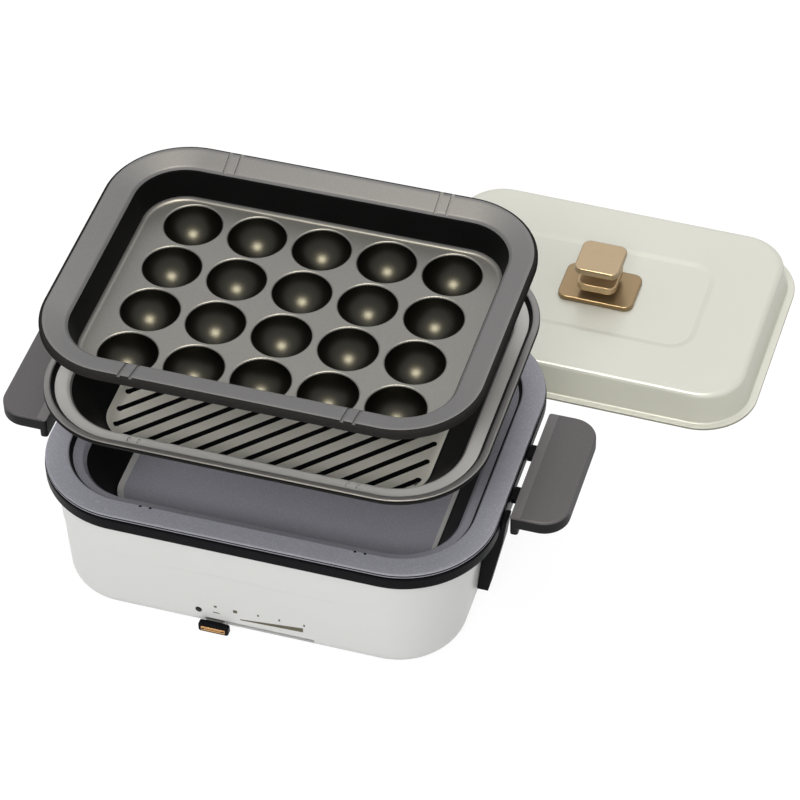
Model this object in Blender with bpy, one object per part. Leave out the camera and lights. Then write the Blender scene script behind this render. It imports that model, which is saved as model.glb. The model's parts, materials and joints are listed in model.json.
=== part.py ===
import math

import bmesh
import bpy
from mathutils import Matrix, Vector

# Lengths are in metres. The table is z = 0, the front is -Y.

# Shared clearances and steps
GAP = 0.0003
OVERRUN = 0.004
CORNER_STEPS = 6
ROUND_STEPS = 16
SMALL_STEPS = 12
SMOOTH_ANGLE = math.radians(32)

# Base casing: a drafted, round-cornered shell
CASING_TOP_LENGTH = 0.298
CASING_TOP_WIDTH = 0.241
CASING_TOP_CORNER = 0.057
CASING_DRAFT_X = 0.008
CASING_FLARE_Y = 0.001
CASING_DRAFT_CORNER = 0.01
CASING_BOTTOM = 0.005
CASING_TOP = 0.0807
CASING_FILLET = 0.008
CASING_WALL = 0.002
CASING_LIP = 0.014
CREASE_HEIGHT = 0.0547
CREASE_DEPTH = 0.0006
CREASE_RUN = 0.0008

# Guard ring that carries the pan and the handles
RING_OVERHANG_X = 0.0095
RING_OVERHANG_Y = 0.0015
RING_CORNER_GROWTH = 0.0075
RING_HEIGHT = 0.0092
RING_BEVEL = 0.0015
RING_LEG_DEPTH = 0.009
RING_LEG_WALL = 0.0018

# Bottom cover, feet, spacer posts and their screws
COVER_THICKNESS = 0.002
FOOT_RADIUS = 0.009
FOOT_TAPER = 0.0012
FOOT_SETBACK_X = 0.033
FOOT_SETBACK_Y = 0.0375
POST_RADIUS = 0.005
POST_SETBACK_X = 0.041
POST_SETBACK_Y = 0.0515
SCREW_RADIUS = 0.0015
SCREW_LENGTH = 0.014
SCREW_HEAD_RADIUS = 0.003
SCREW_HEAD_HEIGHT = 0.0016
SCREW_PLAY = 0.0003

# Heat shield tray under the element
TRAY_FLOOR_TOP = 0.0252
TRAY_WALL = 0.0012
TRAY_FLOOR_MARGIN = 0.009
TRAY_FLOOR_CORNER = 0.03
TRAY_WAIST_MARGIN = 0.013
TRAY_WAIST_CORNER = 0.034
TRAY_WAIST_HEIGHT = 0.04
TRAY_MOUTH_MARGIN = 0.022
TRAY_MOUTH_CORNER = 0.044
TRAY_RIM_PLAY = 0.0004

# Sheathed heating element and its clips
ELEMENT_RADIUS = 0.0035
ELEMENT_MARGIN = 0.018
ELEMENT_CORNER = 0.03
ELEMENT_LEG_SPACING = 0.028
ELEMENT_LEG_BEND = 0.008
ELEMENT_AIR = 0.0004
ELEMENT_HOLE_PLAY = 0.0015
CLIP_SETBACK = 0.015
CLIP_WALL = 0.002
CLIP_LENGTH = 0.006
CLIP_PLAY = 0.0004

# Terminal block, fuse and leads
TERMINAL_LENGTH = 0.022
TERMINAL_WIDTH = 0.048
TERMINAL_HEIGHT = 0.0079
LEAD_RADIUS = 0.0012
FUSE_RADIUS = 0.003
FUSE_LENGTH = 0.016
FUSE_SETBACK = 0.025
FUSE_SPACING = 0.014
FUSE_CLIP_HEIGHT = 0.0014
FUSE_CLIP_WIDTH = 0.008

# Temperature lever, its rack and the thermostat pinion
LEVER_REST_X = -0.0226
LEVER_TRAVEL = 0.0632
LEVER_LENGTH = 0.0214
LEVER_DEPTH = 0.0044
LEVER_HEIGHT = 0.0074
LEVER_BOTTOM = 0.003
LEVER_AIR = 0.0006
LEVER_EDGE = 0.0008
INLAY_THICKNESS = 0.0008
INLAY_LENGTH = 0.0175
INLAY_HEIGHT = 0.0036
ARM_WIDTH = 0.012
ARM_THICKNESS = 0.0026
SLOT_SIDE_PLAY = 0.0012
SLOT_HEIGHT = 0.0046
GEAR_MODULE = 0.0015
PINION_TEETH = 18
RACK_TEETH = 16
PRESSURE_ANGLE = math.radians(20)
ADDENDUM_SHARE = 0.8
DEDENDUM_SHARE = 1.2
GEAR_BACKLASH = 0.0003
GEAR_HEIGHT = 0.0045
RACK_DEPTH = 0.007
RACK_SETBACK = 0.0265
SPINDLE_RADIUS = 0.0025
SPINDLE_PLAY = 0.0001
SPINDLE_DEPTH = 0.005
GUIDE_THICKNESS = 0.0019
GUIDE_WIDTH = 0.005
GUIDE_POST = 0.0035
GUIDE_PLAY = 0.001

# Thermostat and its sprung sensor
THERMOSTAT_LENGTH = 0.04
THERMOSTAT_WIDTH = 0.0605
THERMOSTAT_OVERHANG = 0.0015
THERMOSTAT_BOTTOM = 0.0135
SENSOR_SETBACK = 0.008
SENSOR_HEAD_RADIUS = 0.007
SENSOR_HEAD_HEIGHT = 0.003
SENSOR_STEM_RADIUS = 0.003
SENSOR_STEM_DEPTH = 0.0042
SENSOR_TRAVEL = 0.003
SENSOR_HOLE_RADIUS = 0.0085
SPRING_RADIUS = 0.0048
SPRING_WIRE_RADIUS = 0.0005
SPRING_TURNS = 4

# Indicator lamp
LAMP_SPACING = 0.0116
LAMP_HEIGHT = 0.018
LAMP_RADIUS = 0.0021
LAMP_PROUD = 0.0006
LAMP_BODY_SETBACK = 0.0022
LAMP_BODY_LENGTH = 0.0086
LAMP_BODY_WIDTH = 0.01
LAMP_BODY_HEIGHT = 0.0147

# Power inlet on the right wall
INLET_WIDTH = 0.084
INLET_Y = -0.008
INLET_BOTTOM = 0.017
INLET_PROUD = 0.0028
CHEEK_WIDTH = 0.012
CHEEK_FOOT_PROUD = 0.008
CHEEK_SHOULDER = 0.067
CHEEK_SHOULDER_PROUD = 0.0122
CHEEK_TIP_PROUD = 0.0035
CHEEK_TIP_DROP = 0.0022
RECESS_WIDTH = 0.052
RECESS_BOTTOM = 0.034
RECESS_TOP = 0.06
SOCKET_SETBACK = 0.001
SOCKET_DEPTH = 0.0055
PIN_RADIUS = 0.002
PIN_SPACING = 0.02
PIN_PROUD = 0.0025
PIN_TAIL = 0.0025

# Handles
HANDLE_STANDOFF = 0.006
HANDLE_REACH = 0.037
HANDLE_WIDTH = 0.102
HANDLE_RISE = 0.0053
HANDLE_THICKNESS = 0.0105
HANDLE_OUTER_CORNER = 0.018
HANDLE_INNER_CORNER = 0.002
HANDLE_EDGE = 0.0012
SKIRT_THICKNESS = 0.0055
SKIRT_DROP = 0.0055
BRACKET_HEIGHT = 0.004
BRACKET_DROP = 0.0035
BRACKET_WIDTH = 0.012
BRACKET_SHARES = (-0.4, 0.4)

# Deep pan
PAN_SETBACK = 0.0005
PAN_FLANGE = 0.0035
PAN_BAND = 0.0155
PAN_DROP = 0.004
PAN_DROP_RUN = 0.002
PAN_LEDGE = 0.0065
PAN_LEDGE_FALL = 0.0023
PAN_DEPTH = 0.046
PAN_WALL = 0.003
PAN_FLOOR_INSET = 0.045
PAN_FLOOR_CORNER = 0.024
PAN_FILLET = 0.006

# Grill plate
GRILL_LENGTH = 0.306
GRILL_WIDTH = 0.238
GRILL_CORNER = 0.061
GRILL_SPACING = 0.0675
GRILL_FLANGE = 0.0038
GRILL_BAND = 0.0045
GRILL_DROP = 0.0035
GRILL_DROP_RUN = 0.0025
GRILL_LEDGE = 0.0086
GRILL_LEDGE_FALL = 0.0013
GRILL_DEPTH = 0.034
GRILL_WALL = 0.003
GRILL_FLOOR_INSET_X = 0.0415
GRILL_FLOOR_INSET_Y = 0.0355
GRILL_FLOOR_CORNER = 0.024
GRILL_FILLET = 0.006
GRILL_FLOOR_THICKNESS = 0.0065
GROOVE_WIDTH = 0.0048
GROOVE_DEPTH = 0.0035
GROOVE_PITCH = 0.012
GROOVE_MARGIN = 0.003

# Takoyaki plate
TAKO_LENGTH = 0.3024
TAKO_WIDTH = 0.2298
TAKO_CORNER = 0.0576
TAKO_SPACING = 0.0595
TAKO_SHOULDER = 0.003
TAKO_SHOULDER_FALL = 0.0022
TAKO_BAND = 0.016
TAKO_BAND_FALL = 0.0045
TAKO_LIP = 0.0065
TAKO_LIP_WALL = 0.0022
TAKO_WALL = 0.003
TAKO_DEPTH = 0.0285
TAKO_FLOOR_INSET = 0.0257
TAKO_FLOOR_CORNER = 0.028
TAKO_FILLET = 0.002
CUP_RADIUS = 0.02025
CUP_DEPTH = 0.0185
CUP_WALL = 0.0018
CUP_RIB_X = 0.0055
CUP_RIB_Y = 0.003
CUP_MARGIN_X = 0.012
CUP_MARGIN_Y = 0.0025
CUP_STEPS = 12
CUP_RINGS = 3
SHELL_RINGS = 2

# Rim notches shared by the three plates
NOTCH_REACH_X = 0.075
NOTCH_SPACING = 0.008
NOTCH_WIDTH = 0.0022
NOTCH_LENGTH = 0.004
NOTCH_DEPTH = 0.0012

# Lid, lying on the table to the right of the base and behind it
LID_X = 0.1495
LID_SPACING = 0.0335
LID_TURN = math.radians(-1)
LID_LENGTH = 0.268
LID_WIDTH = 0.197
LID_CORNER = 0.042
LID_RIM = 0.0055
LID_RIM_THICKNESS = 0.0014
LID_DRAFT = 0.0045
LID_HEIGHT = 0.025
LID_FILLET = 0.004
LID_SHEET = 0.0012
LID_FIELD_LENGTH = 0.16
LID_FIELD_WIDTH = 0.094
LID_FIELD_CORNER = 0.02
LID_FIELD_SLOPE = 0.006
LID_FIELD_DROP = 0.0012

# Lid knob
KNOB_BASE_LENGTH = 0.057
KNOB_BASE_WIDTH = 0.038
KNOB_BASE_CORNER = 0.007
KNOB_BASE_THICKNESS = 0.0039
KNOB_BASE_EDGE = 0.0012
NECK_LENGTH = 0.014
NECK_WIDTH = 0.012
NECK_HEIGHT = 0.005
SADDLE_LENGTH = 0.029
SADDLE_WIDTH = 0.031
SADDLE_HEIGHT = 0.0068
SADDLE_CORNER = 0.006
STALK_LENGTH = 0.013
STALK_WIDTH = 0.012
STALK_HEIGHT = 0.0095
GRIP_LENGTH = 0.0335
GRIP_WIDTH = 0.033
GRIP_CORNER = 0.006
GRIP_THICKNESS = 0.0055
GRIP_EDGE = 0.0012
KNOB_SCREW_RADIUS = 0.002
KNOB_SCREW_HEAD_RADIUS = 0.0045
KNOB_SCREW_HEAD_HEIGHT = 0.0024
KNOB_SCREW_GRIP = 0.004
WASHER_RADIUS = 0.008
WASHER_THICKNESS = 0.001

# Derived sizes
CASING_TOP_RIM = (CASING_TOP_LENGTH, CASING_TOP_WIDTH, CASING_TOP_CORNER)
CASING_FOOT_LENGTH = CASING_TOP_LENGTH - 2 * CASING_DRAFT_X
CASING_FOOT_WIDTH = CASING_TOP_WIDTH + 2 * CASING_FLARE_Y
CASING_FOOT_CORNER = CASING_TOP_CORNER - CASING_DRAFT_CORNER
CASING_FOOT_RIM = (CASING_FOOT_LENGTH, CASING_FOOT_WIDTH, CASING_FOOT_CORNER)
CASING_FRONT_Y = -CASING_FOOT_WIDTH / 2
FILLET_TOP = CASING_BOTTOM + CASING_FILLET
COVER_TOP = CASING_BOTTOM + COVER_THICKNESS
RING_BOTTOM = CASING_TOP + GAP
RING_TOP = RING_BOTTOM + RING_HEIGHT
RING_LENGTH = CASING_TOP_LENGTH + 2 * RING_OVERHANG_X
RING_WIDTH = CASING_TOP_WIDTH + 2 * RING_OVERHANG_Y
RING_CORNER = CASING_TOP_CORNER + RING_CORNER_GROWTH
FOOT_REACH_X = CASING_FOOT_LENGTH / 2 - FOOT_SETBACK_X
FOOT_REACH_Y = CASING_FOOT_WIDTH / 2 - FOOT_SETBACK_Y
POST_REACH_X = CASING_FOOT_LENGTH / 2 - POST_SETBACK_X
POST_REACH_Y = CASING_FOOT_WIDTH / 2 - POST_SETBACK_Y
PAN_TOP = RING_TOP + GAP + PAN_FLANGE
PAN_LENGTH = RING_LENGTH - 2 * PAN_SETBACK
PAN_WIDTH = RING_WIDTH - 2 * PAN_SETBACK
PAN_CORNER = RING_CORNER - PAN_SETBACK
PAN_FLOOR_LENGTH = PAN_LENGTH - 2 * PAN_FLOOR_INSET
PAN_FLOOR_WIDTH = PAN_WIDTH - 2 * PAN_FLOOR_INSET
GRILL_TOP = PAN_TOP + GRILL_SPACING
GRILL_FLOOR_LENGTH = GRILL_LENGTH - 2 * GRILL_FLOOR_INSET_X
GRILL_FLOOR_WIDTH = GRILL_WIDTH - 2 * GRILL_FLOOR_INSET_Y
TAKO_TOP = GRILL_TOP + TAKO_SPACING
TAKO_FLOOR_LENGTH = TAKO_LENGTH - 2 * TAKO_FLOOR_INSET
TAKO_FLOOR_WIDTH = TAKO_WIDTH - 2 * TAKO_FLOOR_INSET
CUP_PITCH_X = 2 * CUP_RADIUS + CUP_RIB_X
CUP_PITCH_Y = 2 * CUP_RADIUS + CUP_RIB_Y
CUP_COLUMNS = int((TAKO_FLOOR_LENGTH - 2 * CUP_MARGIN_X + CUP_RIB_X) / CUP_PITCH_X)
CUP_ROWS = int((TAKO_FLOOR_WIDTH - 2 * CUP_MARGIN_Y + CUP_RIB_Y) / CUP_PITCH_Y)
ELEMENT_LENGTH = PAN_FLOOR_LENGTH - 2 * ELEMENT_MARGIN
ELEMENT_WIDTH = PAN_FLOOR_WIDTH - 2 * ELEMENT_MARGIN
CLIP_REACH_X = ELEMENT_LENGTH / 2 - ELEMENT_CORNER - CLIP_SETBACK
TRAY_FLOOR_BOTTOM = TRAY_FLOOR_TOP - TRAY_WALL
TRAY_RIM_TOP = RING_BOTTOM - RING_LEG_DEPTH - GAP
PAN_FLOOR_BOTTOM = PAN_TOP - PAN_DEPTH - PAN_WALL
ELEMENT_HEIGHT = PAN_FLOOR_BOTTOM - ELEMENT_AIR - ELEMENT_RADIUS
TERMINAL_X = ELEMENT_LENGTH / 2
TERMINAL_TOP = COVER_TOP + GAP + TERMINAL_HEIGHT
PINION_RADIUS = GEAR_MODULE * PINION_TEETH / 2
GEAR_PITCH = math.pi * GEAR_MODULE
PINION_X = LEVER_REST_X + LEVER_TRAVEL / 2
RACK_PITCH_Y = CASING_FRONT_Y + RACK_SETBACK
PINION_Y = RACK_PITCH_Y + PINION_RADIUS
THERMOSTAT_FRONT_Y = RACK_PITCH_Y - THERMOSTAT_OVERHANG
THERMOSTAT_BACK_Y = THERMOSTAT_FRONT_Y + THERMOSTAT_WIDTH
SENSOR_Y = THERMOSTAT_BACK_Y - SENSOR_SETBACK
LAMP_X = LEVER_REST_X - LAMP_SPACING
FUSE_X = CASING_FOOT_LENGTH / 2 - FUSE_SETBACK
FUSE_Y = TERMINAL_WIDTH / 2 + FUSE_SPACING
HANDLE_INNER_X = RING_LENGTH / 2 + HANDLE_STANDOFF
HANDLE_OUTER_X = HANDLE_INNER_X + HANDLE_REACH
HANDLE_TOP = RING_TOP + HANDLE_RISE
LID_Y = (RING_WIDTH + LID_WIDTH) / 2 + LID_SPACING
GEAR_BOTTOM = COVER_TOP + GAP
GEAR_TOP = GEAR_BOTTOM + GEAR_HEIGHT
RACK_FRONT_Y = RACK_PITCH_Y - DEDENDUM_SHARE * GEAR_MODULE - RACK_DEPTH
RACK_LENGTH = GEAR_PITCH * RACK_TEETH
LEVER_BACK_Y = CASING_FRONT_Y - LEVER_AIR
LEVER_FRONT_Y = LEVER_BACK_Y - LEVER_DEPTH
BASE_FRONT_Y = LEVER_FRONT_Y - GAP - INLAY_THICKNESS
ARM_TOP = LEVER_BOTTOM + LEVER_HEIGHT
ARM_BOTTOM = ARM_TOP - ARM_THICKNESS
THERMOSTAT_TOP = TRAY_FLOOR_BOTTOM - GAP
LAMP_BODY_FRONT_Y = CASING_FRONT_Y + CREASE_DEPTH + CASING_WALL + LAMP_BODY_SETBACK
LAMP_BODY_Y = LAMP_BODY_FRONT_Y + LAMP_BODY_WIDTH / 2
LID_FIELD_TOP = LID_HEIGHT - LID_FIELD_DROP
KNOB_BASE_BOTTOM = LID_FIELD_TOP + GAP
KNOB_BASE_TOP = KNOB_BASE_BOTTOM + KNOB_BASE_THICKNESS
STEM_BOTTOM = KNOB_BASE_TOP + GAP
SADDLE_BOTTOM = STEM_BOTTOM + NECK_HEIGHT
SADDLE_TOP = SADDLE_BOTTOM + SADDLE_HEIGHT
STALK_TOP = SADDLE_TOP + STALK_HEIGHT
GRIP_BOTTOM = STALK_TOP + GAP


# Outlines and meshes

def rounded(x_low, x_high, y_low, y_high, corners, steps=CORNER_STEPS):
    # Corner radii in the order right-back, left-back, left-front, right-front
    centres = ((x_high, y_high, -1, -1), (x_low, y_high, 1, -1), (x_low, y_low, 1, 1), (x_high, y_low, -1, 1))
    points = []
    for quarter, (x, y, turn_x, turn_y) in enumerate(centres):
        radius = corners[quarter]
        for step in range(steps + 1):
            angle = math.pi / 2 * (quarter + step / steps)
            across = x + turn_x * radius + radius * math.cos(angle)
            along = y + turn_y * radius + radius * math.sin(angle)
            points.append((across, along))
    return points


def rim_points(rim, steps=CORNER_STEPS):
    length, width, corner = rim
    return rounded(-length / 2, length / 2, -width / 2, width / 2, (corner,) * 4, steps)


def inset(rim, distance):
    length, width, corner = rim
    return (length - 2 * distance, width - 2 * distance, corner - distance)


def circle(radius, steps=ROUND_STEPS):
    return [(radius * math.cos(math.tau * k / steps), radius * math.sin(math.tau * k / steps)) for k in range(steps)]


def mix(first, second, share):
    return tuple(a + (b - a) * share for a, b in zip(first, second))


def join_rings(shape, rings, closed=False):
    pairs = list(zip(rings, rings[1:]))
    if closed:
        pairs.append((rings[-1], rings[0]))
    for lower, upper in pairs:
        for k in range(len(lower)):
            after = (k + 1) % len(lower)
            shape.faces.new((lower[k], lower[after], upper[after], upper[k]))
    if not closed:
        shape.faces.new(rings[0])
        shape.faces.new(rings[-1])


def add_loft(shape, sections, closed=False):
    # Sections are lists of (x, y) with a height each; every list has as many points
    join_rings(shape, [[shape.verts.new((x, y, z)) for x, y in points] for points, z in sections], closed)


def loft(sections, closed=False):
    shape = bmesh.new()
    add_loft(shape, sections, closed)
    bmesh.ops.recalc_face_normals(shape, faces=shape.faces)
    return shape


def prisms(outlines, low, high):
    shape = bmesh.new()
    for points in outlines:
        add_loft(shape, [(points, low), (points, high)])
    bmesh.ops.recalc_face_normals(shape, faces=shape.faces)
    return shape


def shifted(points, x, y):
    return [(x + px, y + py) for px, py in points]


def rectangle(x_low, x_high, y_low, y_high):
    return [(x_high, y_high), (x_low, y_high), (x_low, y_low), (x_high, y_low)]


def softened(rim, low, high, edge, steps=CORNER_STEPS):
    # A slab whose upper and lower edges are chamfered
    return [
        (rim_points(inset(rim, edge), steps), low),
        (rim_points(rim, steps), low + edge),
        (rim_points(rim, steps), high - edge),
        (rim_points(inset(rim, edge), steps), high),
    ]


# Materials and objects

def finish(name, colour, roughness, metallic=0.0):
    material = bpy.data.materials.new(name)
    material.use_nodes = True
    shader = material.node_tree.nodes["Principled BSDF"]
    shader.inputs["Base Color"].default_value = (*colour, 1.0)
    shader.inputs["Roughness"].default_value = roughness
    shader.inputs["Metallic"].default_value = metallic
    material.diffuse_color = (*colour, 1.0)
    return material


def make_finishes():
    return {
        "cream": finish("cream_paint", (0.66, 0.66, 0.62), 0.42),
        "lid": finish("lid_enamel", (0.73, 0.73, 0.66), 0.35),
        "resin": finish("black_resin", (0.022, 0.022, 0.026), 0.5),
        "grip": finish("handle_resin", (0.095, 0.088, 0.095), 0.6),
        "coating": finish("dark_coating", (0.2, 0.2, 0.2), 0.48, 0.35),
        "pan": finish("pan_coating", (0.17, 0.17, 0.19), 0.5, 0.35),
        "steel": finish("steel_sheet", (0.55, 0.55, 0.54), 0.32, 1.0),
        "sheath": finish("element_sheath", (0.16, 0.15, 0.14), 0.45, 0.8),
        "rubber": finish("foot_rubber", (0.05, 0.05, 0.05), 0.8),
        "ceramic": finish("terminal_ceramic", (0.72, 0.68, 0.6), 0.55),
        "brass": finish("contact_brass", (0.62, 0.45, 0.2), 0.3, 1.0),
        "bronze": finish("knob_bronze", (0.44, 0.33, 0.19), 0.38, 0.6),
        "copper": finish("lever_copper", (0.52, 0.27, 0.11), 0.32, 0.8),
        "moulding": finish("inner_moulding", (0.3, 0.28, 0.25), 0.6),
        "lens": finish("lamp_lens", (0.08, 0.01, 0.008), 0.2),
        "lead": finish("lead_sleeve", (0.4, 0.36, 0.3), 0.7),
    }


def add_object(name, data, parent, material, location=(0, 0, 0), rotation=(0, 0, 0)):
    item = bpy.data.objects.new(name, data)
    bpy.context.scene.collection.objects.link(item)
    item.location = location
    item.rotation_euler = rotation
    item.parent = parent
    if material:
        data.materials.append(material)
    return item


def add_piece(name, shape, parent, material, location=(0, 0, 0), rotation=(0, 0, 0), smooth=True):
    data = bpy.data.meshes.new(name)
    shape.to_mesh(data)
    shape.free()
    if smooth:
        data.shade_smooth()
        data.set_sharp_from_angle(angle=SMOOTH_ANGLE)
    return add_object(name, data, parent, material, location, rotation)


def add_origin(name, parent=None, location=(0, 0, 0), rotation=(0, 0, 0)):
    return add_object(name, None, parent, None, location, rotation)


def boolean(target, shape, name, operation="DIFFERENCE", location=(0, 0, 0), rotation=(0, 0, 0)):
    cutter = add_piece(name, shape, target.parent, None, location, rotation, smooth=False)
    cutter.hide_render = True
    cutter.display_type = "WIRE"
    modifier = target.modifiers.new(name, "BOOLEAN")
    modifier.operation = operation
    modifier.solver = "EXACT"
    modifier.object = cutter


def smooth_route(points, steps):
    # A Catmull-Rom curve through a lead's route, whose first and last legs stay straight
    route = [Vector(p) for p in points]
    curve = [route[0]]
    for before, start, end, after in zip(route, route[1:], route[2:], route[3:]):
        for step in range(steps):
            t = step / steps
            bend = (2 * before - 5 * start + 4 * end - after) * t * t
            twist = (3 * start - before - 3 * end + after) * t * t * t
            curve.append(start + ((end - before) * t + bend + twist) / 2)
    return curve + route[-2:]


def add_tube(name, points, radius, parent, material, resolution=2):
    data = bpy.data.curves.new(name, "CURVE")
    data.dimensions = "3D"
    data.bevel_depth = radius
    data.bevel_resolution = resolution
    data.use_fill_caps = True
    spline = data.splines.new("POLY")
    spline.points.add(len(points) - 1)
    for place, point in zip(spline.points, points):
        place.co = (*point, 1.0)
    return add_object(name, data, parent, material)


# Base shell

def casing_rim(height):
    share = (CASING_TOP - height) / (CASING_TOP - FILLET_TOP)
    return mix(CASING_TOP_RIM, CASING_FOOT_RIM, share)


def casing_bore(height, play):
    # The largest rim that clears the casing's inside from its mouth down to the height
    narrowest = tuple(min(a, b) for a, b in zip(CASING_TOP_RIM, casing_rim(height)))
    return inset(narrowest, CASING_WALL + play)


def casing_sections(wall):
    # From the top edge down to the lip; wall is how far the surface lies inside the outer face
    crease_top = CREASE_HEIGHT + CREASE_RUN
    step = CREASE_DEPTH + wall
    sections = [(inset(casing_rim(CASING_TOP), wall), CASING_TOP)]
    sections.append((inset(casing_rim(crease_top), wall), crease_top))
    sections.append((inset(casing_rim(CREASE_HEIGHT), step), CREASE_HEIGHT))
    sections.append((inset(CASING_FOOT_RIM, step), FILLET_TOP))
    radius = CASING_FILLET - wall
    for degrees in (35, 65, 90):
        angle = math.radians(degrees)
        height = FILLET_TOP - radius * math.sin(angle)
        sections.append((inset(CASING_FOOT_RIM, step + radius * (1 - math.cos(angle))), height))
    return sections


def build_casing(base, finishes):
    outer = casing_sections(0)
    inner = casing_sections(CASING_WALL)
    lip = inset(CASING_FOOT_RIM, CASING_LIP)
    lip_top = CASING_BOTTOM + CASING_WALL
    loops = outer + [(lip, CASING_BOTTOM), (lip, lip_top)] + inner[::-1]
    casing = add_piece("casing", loft([(rim_points(rim), z) for rim, z in loops], True), base, finishes["cream"])
    front = CASING_FRONT_Y
    half_arm = ARM_WIDTH / 2 + SLOT_SIDE_PLAY
    slot_low = LEVER_REST_X - half_arm
    slot_high = LEVER_REST_X + LEVER_TRAVEL + half_arm
    slot_back = front + CASING_WALL + CASING_FILLET
    slot_bottom = COVER_TOP + GAP
    slot = prisms([rectangle(slot_low, slot_high, front - OVERRUN, slot_back)], slot_bottom, slot_bottom + SLOT_HEIGHT)
    boolean(casing, slot, "cut_lever_slot")
    hole = prisms([circle(LAMP_RADIUS + GAP)], -OVERRUN, CASING_WALL + OVERRUN)
    boolean(casing, hole, "cut_lamp_hole", location=(LAMP_X, front, LAMP_HEIGHT), rotation=(-math.pi / 2, 0, 0))
    height = (RECESS_BOTTOM + RECESS_TOP) / 2
    middle = casing_rim(height)[0] / 2
    reach = CASING_WALL + OVERRUN
    window = rectangle(middle - reach, middle + reach, INLET_Y - RECESS_WIDTH / 2, INLET_Y + RECESS_WIDTH / 2)
    boolean(casing, prisms([window], RECESS_BOTTOM, RECESS_TOP), "cut_inlet_window")


def build_ring(base, finishes):
    rim = (RING_LENGTH, RING_WIDTH, RING_CORNER)
    leg_bottom = RING_BOTTOM - RING_LEG_DEPTH
    leg = casing_bore(leg_bottom, GAP)
    leg_inner = inset(leg, RING_LEG_WALL)
    loops = [
        (rim, RING_BOTTOM + RING_BEVEL),
        (inset(rim, RING_BEVEL), RING_BOTTOM),
        (leg, RING_BOTTOM),
        (leg, leg_bottom),
        (leg_inner, leg_bottom),
        (leg_inner, RING_TOP),
        (inset(rim, RING_BEVEL), RING_TOP),
        (rim, RING_TOP - RING_BEVEL),
    ]
    add_piece("guard_ring", loft([(rim_points(r), z) for r, z in loops], True), base, finishes["resin"])


CORNER_NAMES = ("front_left", "back_left", "front_right", "back_right")


def corners_of(reach_x, reach_y):
    return [(x, y) for x in (-reach_x, reach_x) for y in (-reach_y, reach_y)]


def build_cover(base, finishes):
    rim = inset(CASING_FOOT_RIM, CASING_LIP + GAP)
    points = rim_points(rim)
    cover = add_piece("bottom_cover", prisms([points], CASING_BOTTOM, COVER_TOP), base, finishes["resin"])
    places = corners_of(POST_REACH_X, POST_REACH_Y)
    bore = circle(SCREW_RADIUS + SCREW_PLAY, SMALL_STEPS)
    holes = prisms([shifted(bore, *p) for p in places], CASING_BOTTOM - OVERRUN, COVER_TOP + OVERRUN)
    boolean(cover, holes, "cut_screw_holes")
    for name, place in zip(CORNER_NAMES, corners_of(FOOT_REACH_X, FOOT_REACH_Y)):
        top = CASING_BOTTOM - GAP
        sections = [(circle(FOOT_RADIUS - FOOT_TAPER), 0), (circle(FOOT_RADIUS), FOOT_TAPER), (circle(FOOT_RADIUS), top)]
        add_piece("foot_" + name, loft(sections), base, finishes["rubber"], (*place, 0))
    for name, place in zip(CORNER_NAMES, places):
        build_post(base, finishes, name, place)


def build_post(base, finishes, name, place):
    # A spacer post that carries the heat shield, with the screw that holds it to the cover
    low = COVER_TOP + GAP
    high = TRAY_FLOOR_BOTTOM - GAP
    reach = CASING_BOTTOM + SCREW_LENGTH
    outer = circle(POST_RADIUS, SMALL_STEPS)
    bore = circle(SCREW_RADIUS + SCREW_PLAY, SMALL_STEPS)
    post = [(bore, reach + GAP), (bore, low), (outer, low), (outer, high)]
    add_piece("tray_post_" + name, loft(post), base, finishes["steel"], (*place, 0))
    top = CASING_BOTTOM - GAP
    head = circle(SCREW_HEAD_RADIUS, SMALL_STEPS)
    shank = circle(SCREW_RADIUS, SMALL_STEPS)
    screw = [(head, top - SCREW_HEAD_HEIGHT), (head, top), (shank, top), (shank, reach)]
    add_piece("cover_screw_" + name, loft(screw), base, finishes["steel"], (*place, 0))


def around_pan_floor(margin, corner):
    return (PAN_FLOOR_LENGTH + 2 * margin, PAN_FLOOR_WIDTH + 2 * margin, corner)


def build_tray(base, finishes):
    floor = around_pan_floor(TRAY_FLOOR_MARGIN, TRAY_FLOOR_CORNER)
    waist = around_pan_floor(TRAY_WAIST_MARGIN, TRAY_WAIST_CORNER)
    mouth = around_pan_floor(TRAY_MOUTH_MARGIN, TRAY_MOUTH_CORNER)
    bend = TRAY_FLOOR_TOP + TRAY_WALL
    rim_bottom = TRAY_RIM_TOP - TRAY_WALL
    rim = casing_bore(rim_bottom, GAP + TRAY_RIM_PLAY)
    loops = [
        (inset(floor, TRAY_WALL), TRAY_FLOOR_BOTTOM),
        (floor, bend - TRAY_WALL),
        (waist, TRAY_WAIST_HEIGHT),
        (mouth, rim_bottom),
        (rim, rim_bottom),
        (rim, TRAY_RIM_TOP),
        (inset(mouth, TRAY_WALL), TRAY_RIM_TOP),
        (inset(waist, TRAY_WALL), TRAY_WAIST_HEIGHT),
        (inset(floor, TRAY_WALL), bend),
        (inset(floor, 2 * TRAY_WALL), TRAY_FLOOR_TOP),
    ]
    tray = add_piece("heat_shield", loft([(rim_points(r), z) for r, z in loops]), base, finishes["steel"])
    riser = circle(ELEMENT_RADIUS + ELEMENT_HOLE_PLAY)
    side = ELEMENT_LEG_SPACING / 2
    outlines = [shifted(riser, TERMINAL_X, side), shifted(riser, TERMINAL_X, -side)]
    outlines.append(shifted(circle(SENSOR_HOLE_RADIUS), PINION_X, SENSOR_Y))
    cut = prisms(outlines, TRAY_FLOOR_BOTTOM - OVERRUN, TRAY_FLOOR_TOP + OVERRUN)
    boolean(tray, cut, "cut_tray_holes")


# Heating

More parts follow.
